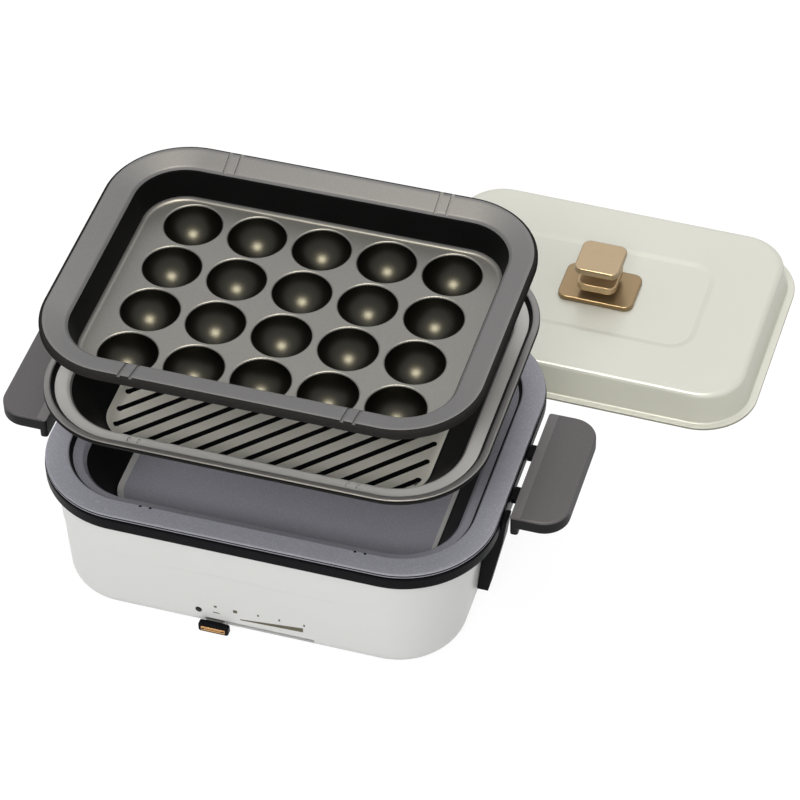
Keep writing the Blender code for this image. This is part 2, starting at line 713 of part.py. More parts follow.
def element_route():
    x = ELEMENT_LENGTH / 2
    y = ELEMENT_WIDTH / 2
    side = ELEMENT_LEG_SPACING / 2
    half = []
    for step in range(5):
        angle = math.pi / 2 * step / 4
        rise = ELEMENT_HEIGHT - ELEMENT_LEG_BEND * (1 - math.sin(angle))
        half.append((x, side + ELEMENT_LEG_BEND * (1 - math.cos(angle)), rise))
    corners = rounded(-x, x, -y, y, (ELEMENT_CORNER,) * 4, 4)
    loop = [(px, py, ELEMENT_HEIGHT) for px, py in corners]
    low = (x, side, TERMINAL_TOP + GAP)
    mirrored = [(px, -py, pz) for px, py, pz in [low] + half]
    return [low] + half + loop + mirrored[::-1]


def build_element(base, finishes):
    add_tube("heating_element", element_route(), ELEMENT_RADIUS, base, finishes["sheath"])
    slot = ELEMENT_RADIUS + CLIP_PLAY
    side = slot + CLIP_WALL
    seat = ELEMENT_HEIGHT - slot
    low = TRAY_FLOOR_TOP + GAP
    profile = [(side, low), (side, ELEMENT_HEIGHT), (slot, ELEMENT_HEIGHT), (slot, seat)]
    profile += [(-y, z) for y, z in profile[::-1]]
    # The profile is drawn flat, stood upright and turned to face along the element
    turn = (math.pi / 2, 0, math.pi / 2)
    for name, place in zip(CORNER_NAMES, corners_of(CLIP_REACH_X, ELEMENT_WIDTH / 2)):
        clip = prisms([profile], -CLIP_LENGTH / 2, CLIP_LENGTH / 2)
        add_piece("element_clip_" + name, clip, base, finishes["steel"], (*place, 0), turn, False)


def build_terminals(base, finishes):
    half = TERMINAL_LENGTH / 2
    block = rectangle(TERMINAL_X - half, TERMINAL_X + half, -TERMINAL_WIDTH / 2, TERMINAL_WIDTH / 2)
    add_piece("terminal_block", prisms([block], COVER_TOP + GAP, TERMINAL_TOP), base, finishes["ceramic"])
    clip_top = COVER_TOP + GAP + FUSE_CLIP_HEIGHT
    half_clip = FUSE_CLIP_WIDTH / 2
    clip = rectangle(FUSE_X - half_clip, FUSE_X + half_clip, FUSE_Y - half_clip, FUSE_Y + half_clip)
    add_piece("fuse_clip", prisms([clip], COVER_TOP + GAP, clip_top), base, finishes["steel"])
    body = prisms([circle(FUSE_RADIUS)], -FUSE_LENGTH / 2, FUSE_LENGTH / 2)
    height = clip_top + GAP + FUSE_RADIUS
    place = (FUSE_X, FUSE_Y, height)
    add_piece("thermal_fuse", body, base, finishes["ceramic"], location=place, rotation=(math.pi / 2, 0, 0))
    return height


def build_leads(base, finishes, pin_tail_x, fuse_height):
    middle = (RECESS_BOTTOM + RECESS_TOP) / 2
    back_pin = INLET_Y + PIN_SPACING / 2
    front_pin = INLET_Y - PIN_SPACING / 2
    tail = pin_tail_x - GAP
    side = ELEMENT_LEG_SPACING / 2
    block_right = TERMINAL_X + TERMINAL_LENGTH / 2 + GAP
    block_left = TERMINAL_X - TERMINAL_LENGTH / 2 - GAP
    stat_right = PINION_X + THERMOSTAT_LENGTH / 2 + GAP
    stat_left = PINION_X - THERMOSTAT_LENGTH / 2 - GAP
    low = TERMINAL_TOP - TERMINAL_HEIGHT / 2
    stat_height = (THERMOSTAT_BOTTOM + THERMOSTAT_TOP) / 2
    fuse_end = FUSE_Y + FUSE_LENGTH / 2 + GAP
    fuse_start = FUSE_Y - FUSE_LENGTH / 2 - GAP
    step = 4 * LEAD_RADIUS
    bend = tail - step / 2
    turn_y = -FOOT_REACH_Y
    sensor_side = SENSOR_Y - step
    lamp_side = LAMP_X + LAMP_BODY_LENGTH / 2 + GAP
    half_way = (middle + fuse_height) / 2
    routes = {
        "lead_inlet_fuse": [
            (tail, back_pin, middle), (bend, back_pin, middle), (bend, back_pin + 2 * step, half_way),
            (bend, fuse_end + step, fuse_height + step), (FUSE_X + step, fuse_end + 3 * step, fuse_height),
            (FUSE_X, fuse_end + 2 * step, fuse_height), (FUSE_X, fuse_end, fuse_height),
        ],
        "lead_fuse_terminal": [
            (FUSE_X, fuse_start, fuse_height), (FUSE_X, fuse_start - step, fuse_height),
            (block_right + step, side, low), (block_right, side, low),
        ],
        "lead_inlet_thermostat": [
            (tail, front_pin, middle), (bend, front_pin, middle), (bend, turn_y / 2, half_way),
            (FUSE_X, turn_y, stat_height), (POST_REACH_X / 2, turn_y, stat_height),
            (stat_right + step, turn_y, stat_height), (stat_right, turn_y, stat_height),
        ],
        "lead_thermostat_terminal": [
            (stat_right, sensor_side, stat_height), (stat_right + step, sensor_side, stat_height),
            (block_left - 3 * step, -side - 3 * step, low + step), (block_left - step, -side, low),
            (block_left, -side, low),
        ],
        "lead_lamp": [
            (stat_left, RACK_PITCH_Y + step, stat_height), (stat_left - step, RACK_PITCH_Y + step, stat_height),
            (lamp_side + step, LAMP_BODY_Y, stat_height), (lamp_side, LAMP_BODY_Y, stat_height),
        ],
    }
    for name, points in routes.items():
        add_tube(name, smooth_route(points, 3), LEAD_RADIUS, base, finishes["lead"], 1)


# Thermostat, lever and lamp

def build_thermostat(base, finishes):
    half = THERMOSTAT_LENGTH / 2
    outline = rectangle(PINION_X - half, PINION_X + half, THERMOSTAT_FRONT_Y, THERMOSTAT_BACK_Y)
    body = add_piece(
        "thermostat_body", prisms([outline], THERMOSTAT_BOTTOM, THERMOSTAT_TOP), base, finishes["moulding"])
    spindle = shifted(circle(SPINDLE_RADIUS + SPINDLE_PLAY, SMALL_STEPS), PINION_X, PINION_Y)
    depth = SPINDLE_DEPTH + SPINDLE_PLAY
    boolean(body, prisms([spindle], THERMOSTAT_BOTTOM - OVERRUN, THERMOSTAT_BOTTOM + depth), "cut_spindle_hole")
    stem = shifted(circle(SENSOR_STEM_RADIUS + SPINDLE_PLAY, SMALL_STEPS), PINION_X, SENSOR_Y)
    depth = SENSOR_STEM_DEPTH + SENSOR_TRAVEL + SPINDLE_PLAY
    boolean(body, prisms([stem], THERMOSTAT_TOP - depth, THERMOSTAT_TOP + OVERRUN), "cut_sensor_hole")


def build_sensor(base, finishes):
    head_top = PAN_FLOOR_BOTTOM - GAP
    head_bottom = head_top - SENSOR_HEAD_HEIGHT
    origin = add_origin("sensor_origin", base, (PINION_X, SENSOR_Y, head_top))
    stem_bottom = THERMOSTAT_TOP - SENSOR_STEM_DEPTH
    head = circle(SENSOR_HEAD_RADIUS)
    stem = circle(SENSOR_STEM_RADIUS)
    sections = [(stem, stem_bottom - head_top), (stem, head_bottom - head_top), (head, head_bottom - head_top), (head, 0)]
    add_piece("sensor_plunger", loft(sections), origin, finishes["steel"])
    low = THERMOSTAT_TOP + GAP + SPRING_WIRE_RADIUS
    high = head_bottom - GAP - SPRING_WIRE_RADIUS
    count = SPRING_TURNS * 8
    points = []
    for k in range(count + 1):
        angle = math.tau * SPRING_TURNS * k / count
        height = low + (high - low) * k / count
        points.append((PINION_X + SPRING_RADIUS * math.cos(angle), SENSOR_Y + SPRING_RADIUS * math.sin(angle), height))
    add_tube("sensor_spring", points, SPRING_WIRE_RADIUS, base, finishes["steel"], 0)


def rack_points():
    addendum = ADDENDUM_SHARE * GEAR_MODULE
    dedendum = DEDENDUM_SHARE * GEAR_MODULE
    lean = math.tan(PRESSURE_ANGLE)
    half_pitch_width = GEAR_PITCH / 4 - GEAR_BACKLASH / 2
    tip = half_pitch_width - addendum * lean
    root = half_pitch_width + dedendum * lean
    points = [(RACK_LENGTH / 2, RACK_FRONT_Y)]
    for k in range(RACK_TEETH):
        centre = RACK_LENGTH / 2 - GEAR_PITCH * (k + 0.5)
        for across, along in ((root, -dedendum), (tip, addendum), (-tip, addendum), (-root, -dedendum)):
            points.append((centre + across, RACK_PITCH_Y + along))
    points.append((-RACK_LENGTH / 2, RACK_FRONT_Y))
    return points


def involute(angle):
    return math.tan(angle) - angle


def pinion_points(phase):
    addendum = ADDENDUM_SHARE * GEAR_MODULE
    dedendum = DEDENDUM_SHARE * GEAR_MODULE
    base_radius = PINION_RADIUS * math.cos(PRESSURE_ANGLE)
    half_tooth = math.pi / (2 * PINION_TEETH) - GEAR_BACKLASH / (2 * PINION_RADIUS)
    tip = PINION_RADIUS + addendum
    flank = []
    for radius in (PINION_RADIUS - dedendum, PINION_RADIUS, tip):
        lean = involute(math.acos(min(base_radius / radius, 1)))
        flank.append((radius, half_tooth + involute(PRESSURE_ANGLE) - lean))
    tooth = [(radius, -angle) for radius, angle in flank] + flank[::-1]
    points = []
    for k in range(PINION_TEETH):
        turn = phase + math.tau * k / PINION_TEETH
        points += [(radius * math.cos(turn + angle), radius * math.sin(turn + angle)) for radius, angle in tooth]
    return points


def build_lever(base, finishes):
    origin = add_origin("lever_origin", base, (LEVER_REST_X, 0, 0))
    add_piece("slider_rack", prisms([rack_points()], GEAR_BOTTOM, GEAR_TOP), origin, finishes["moulding"], smooth=False)
    half_arm = ARM_WIDTH / 2
    arm = rectangle(-half_arm, half_arm, LEVER_BACK_Y + GAP, RACK_FRONT_Y - GAP)
    add_piece("lever_arm", prisms([arm], ARM_BOTTOM, ARM_TOP), origin, finishes["steel"], smooth=False)
    middle = (0, (LEVER_BACK_Y + LEVER_FRONT_Y) / 2, 0)
    knob = softened((LEVER_LENGTH, LEVER_DEPTH, LEVER_EDGE * 2), LEVER_BOTTOM, ARM_TOP, LEVER_EDGE, 2)
    add_piece("lever_knob", loft(knob), origin, finishes["resin"], location=middle)
    centre = (LEVER_BOTTOM + ARM_TOP) / 2
    half = INLAY_HEIGHT / 2
    front = LEVER_FRONT_Y - GAP
    plate = rectangle(-INLAY_LENGTH / 2, INLAY_LENGTH / 2, front - INLAY_THICKNESS, front)
    add_piece("lever_inlay", prisms([plate], centre - half, centre + half), origin, finishes["copper"], smooth=False)


def build_pinion(base, finishes):
    origin = add_origin("pinion_origin", base, (PINION_X, PINION_Y, 0))
    first_gap = LEVER_REST_X + RACK_LENGTH / 2
    gap_x = first_gap - GEAR_PITCH * round((first_gap - PINION_X) / GEAR_PITCH)
    phase = -math.pi / 2 + (gap_x - PINION_X) / PINION_RADIUS
    shape = prisms([pinion_points(phase)], GEAR_BOTTOM, GEAR_TOP)
    pinion = add_piece("thermostat_pinion", shape, origin, finishes["moulding"], smooth=False)
    spindle = prisms([circle(SPINDLE_RADIUS, SMALL_STEPS)], GEAR_TOP - GEAR_HEIGHT / 2, THERMOSTAT_BOTTOM + SPINDLE_DEPTH)
    boolean(pinion, spindle, "add_spindle", "UNION")


def build_guide(base, finishes):
    low = LEVER_REST_X - RACK_LENGTH / 2 - GUIDE_PLAY
    high = LEVER_REST_X + LEVER_TRAVEL + RACK_LENGTH / 2 + GUIDE_PLAY
    top = GEAR_TOP + GAP + GUIDE_THICKNESS
    under = GEAR_TOP + GAP
    profile = [(low - GUIDE_POST, top), (low - GUIDE_POST, GEAR_BOTTOM), (low, GEAR_BOTTOM), (low, under)]
    profile += [(high, under), (high, GEAR_BOTTOM), (high + GUIDE_POST, GEAR_BOTTOM), (high + GUIDE_POST, top)]
    shape = prisms([profile], -GUIDE_WIDTH / 2, GUIDE_WIDTH / 2)
    place = (0, RACK_FRONT_Y + GUIDE_WIDTH / 2, 0)
    add_piece("slider_guide", shape, base, finishes["steel"], place, (math.pi / 2, 0, 0), smooth=False)


def build_lamp(base, finishes):
    front = CASING_FRONT_Y + CREASE_DEPTH - LAMP_PROUD
    length = LAMP_BODY_FRONT_Y - GAP - front
    edge = LAMP_PROUD / 2
    sections = [(circle(LAMP_RADIUS - edge), 0), (circle(LAMP_RADIUS), edge), (circle(LAMP_RADIUS), length)]
    place = (LAMP_X, front, LAMP_HEIGHT)
    add_piece("lamp_lens", loft(sections), base, finishes["lens"], place, (-math.pi / 2, 0, 0))
    half = LAMP_BODY_LENGTH / 2
    outline = rectangle(LAMP_X - half, LAMP_X + half, LAMP_BODY_FRONT_Y, LAMP_BODY_FRONT_Y + LAMP_BODY_WIDTH)
    half = LAMP_BODY_HEIGHT / 2
    shape = prisms([outline], LAMP_HEIGHT - half, LAMP_HEIGHT + half)
    add_piece("lamp_holder", shape, base, finishes["moulding"], smooth=False)


# Power inlet

def wall_x(height):
    return casing_rim(height)[0] / 2


def build_inlet(base, finishes):
    top = CASING_TOP - GAP
    turn = (math.pi / 2, 0, 0)
    profile = [
        (wall_x(INLET_BOTTOM) + GAP, INLET_BOTTOM),
        (wall_x(INLET_BOTTOM) + INLET_PROUD, INLET_BOTTOM),
        (wall_x(top) + INLET_PROUD, top),
        (wall_x(top) + GAP, top),
    ]
    half = INLET_WIDTH / 2
    place = (0, INLET_Y, 0)
    housing = add_piece("inlet_housing", prisms([profile], -half, half), base, finishes["resin"], place, turn)
    edge = RING_LENGTH / 2 + GAP
    cheek = [
        profile[0],
        (wall_x(INLET_BOTTOM) + CHEEK_FOOT_PROUD, INLET_BOTTOM),
        (wall_x(CHEEK_SHOULDER) + CHEEK_SHOULDER_PROUD, CHEEK_SHOULDER),
        (edge + CHEEK_TIP_PROUD, RING_TOP - CHEEK_TIP_DROP),
        (edge, RING_TOP - CHEEK_TIP_DROP),
        (edge, top),
        profile[3],
    ]
    place = (0, INLET_Y - half + CHEEK_WIDTH, 0)
    shape = prisms([cheek], 0, CHEEK_WIDTH)
    boolean(housing, shape, "add_inlet_cheek", "UNION", place, turn)
    left = wall_x(INLET_BOTTOM) - OVERRUN
    right = wall_x(top) + INLET_PROUD + OVERRUN
    recess = rectangle(left, right, INLET_Y - RECESS_WIDTH / 2, INLET_Y + RECESS_WIDTH / 2)
    boolean(housing, prisms([recess], RECESS_BOTTOM, RECESS_TOP), "cut_inlet_recess")
    middle = (RECESS_BOTTOM + RECESS_TOP) / 2
    face = wall_x(RECESS_BOTTOM) - SOCKET_SETBACK
    back = face - SOCKET_DEPTH
    half = RECESS_WIDTH / 2 - GAP
    block = rectangle(back, face, INLET_Y - half, INLET_Y + half)
    shape = prisms([block], RECESS_BOTTOM + GAP, RECESS_TOP - GAP)
    socket = add_piece("inlet_socket", shape, base, finishes["moulding"], smooth=False)
    places = [(0, INLET_Y - PIN_SPACING / 2), (0, INLET_Y + PIN_SPACING / 2)]
    bore = circle(PIN_RADIUS + GAP, SMALL_STEPS)
    bores = prisms([shifted(bore, *p) for p in places], -OVERRUN, SOCKET_DEPTH + OVERRUN)
    turn = (0, math.pi / 2, 0)
    boolean(socket, bores, "cut_pin_bores", location=(back, 0, middle), rotation=turn)
    for name, (x, y) in zip(("front", "back"), places):
        pin = prisms([circle(PIN_RADIUS, SMALL_STEPS)], -PIN_TAIL, SOCKET_DEPTH + PIN_PROUD)
        add_piece("inlet_pin_" + name, pin, base, finishes["brass"], (back, y, middle), turn)
    return back - PIN_TAIL


# Handles

def build_handle(base, finishes, name, side):
    half = HANDLE_WIDTH / 2
    low = HANDLE_TOP - HANDLE_THICKNESS
    sections = []
    for edge, height in ((HANDLE_EDGE, low), (0, low + HANDLE_EDGE), (0, HANDLE_TOP - HANDLE_EDGE), (HANDLE_EDGE, HANDLE_TOP)):
        outer = HANDLE_OUTER_CORNER - edge
        inner = HANDLE_INNER_CORNER - edge
        corners = (outer, inner, inner, outer) if side > 0 else (inner, outer, outer, inner)
        ends = sorted((side * (HANDLE_INNER_X + edge), side * (HANDLE_OUTER_X - edge)))
        sections.append((rounded(*ends, -half + edge, half - edge, corners, 6), height))
    handle = add_piece("handle_" + name, loft(sections), base, finishes["grip"])
    ends = sorted((side * HANDLE_INNER_X, side * (HANDLE_INNER_X + SKIRT_THICKNESS)))
    skirt = rounded(*ends, -half, half, (HANDLE_INNER_CORNER,) * 4, 2)
    boolean(handle, prisms([skirt], low - SKIRT_DROP, low + HANDLE_THICKNESS / 2), "add_skirt_" + name, "UNION")
    ends = sorted((side * (RING_LENGTH / 2 + GAP), side * (HANDLE_INNER_X - GAP)))
    top = RING_TOP - BRACKET_DROP
    for place, share in zip(("front", "back"), BRACKET_SHARES):
        outline = rectangle(*ends, -BRACKET_WIDTH / 2, BRACKET_WIDTH / 2)
        bracket = prisms([outline], top - BRACKET_HEIGHT, top)
        title = "handle_arm_" + name + "_" + place
        add_piece(title, bracket, base, finishes["resin"], (0, share * half, 0), smooth=False)


# Plates

def notch_cutters(width, surface):
    # surface is the upper face where a notch lies, as (distance in from the edge, height) going inwards
    path = [(along, height - NOTCH_DEPTH) for along, height in surface]
    profile = [(path[0][0], OVERRUN)] + path + [(path[-1][0], OVERRUN)]
    shape = bmesh.new()
    for reach in (-NOTCH_REACH_X, NOTCH_REACH_X):
        for centre in (reach - NOTCH_SPACING / 2, reach + NOTCH_SPACING / 2):
            for side in (-1, 1):
                points = [(side * (width / 2 - along), z) for along, z in profile]
                faces = (centre - NOTCH_WIDTH / 2, centre + NOTCH_WIDTH / 2)
                join_rings(shape, [[shape.verts.new((x, y, z)) for y, z in points] for x in faces])
    bmesh.ops.recalc_face_normals(shape, faces=shape.faces)
    return shape


def capped_plate(top, bottom):
    # top runs from the outer edge to the floor, bottom from the outer edge to the underside
    return loft([(rim_points(r), z) for r, z in top[::-1] + bottom])


def plate_sides(rim, band, flange, drop, run, ledge, fall, depth, wall, floor, fillet, floor_thickness):
    edge = flange / 3
    ledge_start = inset(rim, band + run)
    ledge_end = inset(rim, band + run + ledge)
    throat = inset(rim, band + run + ledge + fillet / 3)
    wall_foot = inset(floor, -fillet)
    fillet_mid = inset(floor, -fillet / 4)
    foot = -(depth - fillet)
    top = [
        (rim, -edge),
        (inset(rim, edge), 0),
        (inset(rim, band), 0),
        (ledge_start, -drop),
        (ledge_end, -drop - fall),
        (throat, -drop - 2 * fall),
        (wall_foot, foot),
        (fillet_mid, foot - fillet * 0.75),
        (floor, -depth),
    ]
    bottom = [
        (rim, -flange + edge),
        (inset(rim, edge), -flange),
        (inset(rim, band - wall / 3), -flange),
        (inset(ledge_start, -wall), -drop - wall),
        (inset(throat, -wall), -drop - 2 * fall - wall),
        (inset(wall_foot, -wall), foot - wall / 2),
        (inset(floor, -wall / 2), -depth - floor_thickness),
    ]
    return top, bottom


def build_pan(base, finishes):
    origin = add_origin("pan_origin", base, (0, 0, PAN_TOP))
    rim = (PAN_LENGTH, PAN_WIDTH, PAN_CORNER)
    floor = (PAN_FLOOR_LENGTH, PAN_FLOOR_WIDTH, PAN_FLOOR_CORNER)
    top, bottom = plate_sides(
        rim, PAN_BAND, PAN_FLANGE, PAN_DROP, PAN_DROP_RUN, PAN_LEDGE, PAN_LEDGE_FALL,
        PAN_DEPTH, PAN_WALL, floor, PAN_FILLET, PAN_WALL)
    pan = add_piece("deep_pan", capped_plate(top, bottom), origin, finishes["pan"])
    # The notches break the flange's inner edge
    surface = [(PAN_BAND - NOTCH_LENGTH / 2, 0), (PAN_BAND + PAN_DROP_RUN, 0)]
    boolean(pan, notch_cutters(PAN_WIDTH, surface), "cut_pan_notches")
    return origin


def groove_end(shift, reach_x, reach_y, corner):
    # Where the line y = x + shift leaves the round-cornered field, as an x
    x = min(reach_x, reach_y - shift)
    middle_x = reach_x - corner
    middle_y = reach_y - corner
    if abs(x) <= middle_x or abs(x + shift) <= middle_y:
        return x
    middle_x = math.copysign(middle_x, x)
    middle_y = math.copysign(middle_y, x + shift)
    spare = 2 * corner ** 2 - (middle_x - middle_y + shift) ** 2
    return (middle_x + middle_y - shift + math.sqrt(max(spare, 0))) / 2


def groove_cutter():
    # Diagonal grooves with round ends, cut to the ribbed field of the floor
    length = GRILL_FLOOR_LENGTH - 2 * GROOVE_MARGIN
    width = GRILL_FLOOR_WIDTH - 2 * GROOVE_MARGIN
    half = GROOVE_WIDTH / 2
    reach_x = length / 2 - half
    reach_y = width / 2 - half
    corner = GRILL_FLOOR_CORNER - GROOVE_MARGIN - half
    step = GROOVE_PITCH * math.sqrt(2)
    count = int((reach_x + reach_y) / step)
    outlines = []
    for k in range(-count, count + 1):
        # The groove's centre line is y = x + shift
        shift = k * step
        start = -groove_end(-shift, reach_x, reach_y, corner)
        end = groove_end(shift, reach_x, reach_y, corner)
        if end - start < GROOVE_PITCH:
            continue
        points = []
        for turn, centre in ((0, end), (1, start)):
            for part in range(4):
                angle = -math.pi / 4 + math.pi * (turn + part / 3)
                points.append((centre + half * math.cos(angle), centre + shift + half * math.sin(angle)))
        outlines.append(points)
    return prisms(outlines, -GRILL_DEPTH - GROOVE_DEPTH, -GRILL_DEPTH + OVERRUN)


def build_grill(pan_origin, finishes):
    origin = add_origin("grill_origin", pan_origin, (0, 0, GRILL_TOP - PAN_TOP))
    rim = (GRILL_LENGTH, GRILL_WIDTH, GRILL_CORNER)
    floor = (GRILL_FLOOR_LENGTH, GRILL_FLOOR_WIDTH, GRILL_FLOOR_CORNER)
    top, bottom = plate_sides(
        rim, GRILL_BAND, GRILL_FLANGE, GRILL_DROP, GRILL_DROP_RUN, GRILL_LEDGE, GRILL_LEDGE_FALL,
        GRILL_DEPTH, GRILL_WALL, floor, GRILL_FILLET, GRILL_FLOOR_THICKNESS)
    grill = add_piece("grill_plate", capped_plate(top, bottom), origin, finishes["coating"])
    boolean(grill, groove_cutter(), "cut_grill_grooves")
    # The notches are pockets along the middle of the ledge
    surface = []
    for along in ((GRILL_LEDGE - NOTCH_LENGTH) / 2, (GRILL_LEDGE + NOTCH_LENGTH) / 2):
        fall = GRILL_DROP + GRILL_LEDGE_FALL * along / GRILL_LEDGE
        surface.append((GRILL_BAND + GRILL_DROP_RUN + along, -fall))
    boolean(grill, notch_cutters(GRILL_WIDTH, surface), "cut_grill_notches")
    return origin


def cup_sections(radius, centre_height, first, last, rings):
    # Rings on a sphere from the angle first to the angle last below the horizon
    sections = []
    for ring in range(rings):
        angle = first + (last - first) * ring / (rings - 1)
        sections.append((circle(radius * math.cos(angle), CUP_STEPS), centre_height - radius * math.sin(angle)))
    return sections


def cup_places():
    for row in range(CUP_ROWS):
        for column in range(CUP_COLUMNS):
            yield (column - (CUP_COLUMNS - 1) / 2) * CUP_PITCH_X, (row - (CUP_ROWS - 1) / 2) * CUP_PITCH_Y


def cups(sections):
    shape = bmesh.new()
    for place in cup_places():
        add_loft(shape, [(shifted(points, *place), z) for points, z in sections])
    bmesh.ops.recalc_face_normals(shape, faces=shape.faces)
    return shape


def build_tako(grill_origin, finishes):
    origin = add_origin("takoyaki_origin", grill_origin, (0, 0, TAKO_TOP - GRILL_TOP))
    rim = (TAKO_LENGTH, TAKO_WIDTH, TAKO_CORNER)
    floor = (TAKO_FLOOR_LENGTH, TAKO_FLOOR_WIDTH, TAKO_FLOOR_CORNER)
    crest = inset(rim, TAKO_SHOULDER)
    throat = inset(rim, TAKO_SHOULDER + TAKO_BAND)
    wall_top = inset(throat, TAKO_FILLET * 0.75)
    wall_foot = inset(floor, -TAKO_FILLET)
    throat_height = -TAKO_BAND_FALL
    top = [
        (rim, -TAKO_SHOULDER_FALL),
        (inset(rim, TAKO_SHOULDER / 3), -TAKO_SHOULDER_FALL / 3),
        (crest, 0),
        (throat, throat_height),
        (wall_top, throat_height - TAKO_FILLET),
        (wall_foot, -TAKO_DEPTH + TAKO_FILLET),
        (floor, -TAKO_DEPTH),
    ]
    bottom = [
        (rim, -TAKO_LIP),
        (inset(rim, TAKO_LIP_WALL), -TAKO_LIP),
        (inset(crest, TAKO_LIP_WALL / 2), -TAKO_WALL),
        (inset(throat, -TAKO_WALL / 2), throat_height - TAKO_WALL),
        (inset(wall_foot, -TAKO_WALL), -TAKO_DEPTH + TAKO_FILLET),
        (inset(floor, -TAKO_WALL / 2), -TAKO_DEPTH - TAKO_WALL),
    ]
    plate = add_piece("takoyaki_plate", capped_plate(top, bottom), origin, finishes["coating"])
    sphere = (CUP_RADIUS ** 2 + CUP_DEPTH ** 2) / (2 * CUP_DEPTH)
    centre = -TAKO_DEPTH - CUP_DEPTH + sphere
    outer = sphere + CUP_WALL
    sink = TAKO_WALL * 0.8
    first = math.asin((centre + TAKO_DEPTH + sink) / outer)
    shells = cup_sections(outer, centre, first, math.radians(48), SHELL_RINGS)
    shells.append((circle(outer * math.sin(math.radians(12)), CUP_STEPS), centre - outer))
    boolean(plate, cups(shells), "add_cups", "UNION")
    first = math.asin((centre + TAKO_DEPTH) / sphere)
    bowls = [(circle(CUP_RADIUS, CUP_STEPS), -TAKO_DEPTH + OVERRUN)]
    bowls += cup_sections(sphere, centre, first, math.radians(64), CUP_RINGS)
    bowls.append((circle(sphere * math.sin(math.radians(8)), CUP_STEPS), centre - sphere))
    boolean(plate, cups(bowls), "cut_cups")
    # The notches cross the shoulder and the whole band
    surface = [(-OVERRUN, -TAKO_SHOULDER_FALL), (0, -TAKO_SHOULDER_FALL)]
    surface += [(TAKO_SHOULDER, 0), (TAKO_SHOULDER + TAKO_BAND, throat_height)]
    boolean(plate, notch_cutters(TAKO_WIDTH, surface), "cut_tako_notches")


# Lid and knob

def build_lid(lid, finishes):
    rim = (LID_LENGTH, LID_WIDTH, LID_CORNER)
    wall_foot = inset(rim, LID_RIM)
    wall_head = inset(wall_foot, LID_DRAFT)
    field = (LID_FIELD_LENGTH, LID_FIELD_WIDTH, LID_FIELD_CORNER)
    field_floor = inset(field, LID_FIELD_SLOPE)
    bend = LID_HEIGHT - LID_FILLET
    turn = LID_FILLET * (1 - math.cos(math.radians(45)))
    drop = LID_FILLET * (1 - math.sin(math.radians(45)))
    outer = [
        (rim, 0), (rim, LID_RIM_THICKNESS), (wall_foot, LID_RIM_THICKNESS), (wall_head, bend),
        (inset(wall_head, turn), LID_HEIGHT - drop), (inset(wall_head, LID_FILLET), LID_HEIGHT),
        (field, LID_HEIGHT), (field_floor, LID_FIELD_TOP),
    ]
    inner_head = inset(wall_head, LID_SHEET)
    inner = [
        (inset(field_floor, LID_SHEET / 2), LID_FIELD_TOP - LID_SHEET), (inset(field, LID_SHEET / 2), LID_HEIGHT - LID_SHEET),
        (inset(wall_head, LID_FILLET), LID_HEIGHT - LID_SHEET), (inner_head, bend),
        (inset(wall_foot, LID_SHEET), 0),
    ]
    # The two caps are the upper and lower faces of the recessed field
    sections = outer[::-1] + inner[::-1]
    shell = add_piece("lid_shell", loft([(rim_points(r), z) for r, z in sections]), lid, finishes["lid"])
    bore = circle(KNOB_SCREW_RADIUS + SCREW_PLAY, SMALL_STEPS)
    boolean(shell, prisms([bore], LID_FIELD_TOP - LID_SHEET - OVERRUN, LID_FIELD_TOP + OVERRUN), "cut_lid_bore")


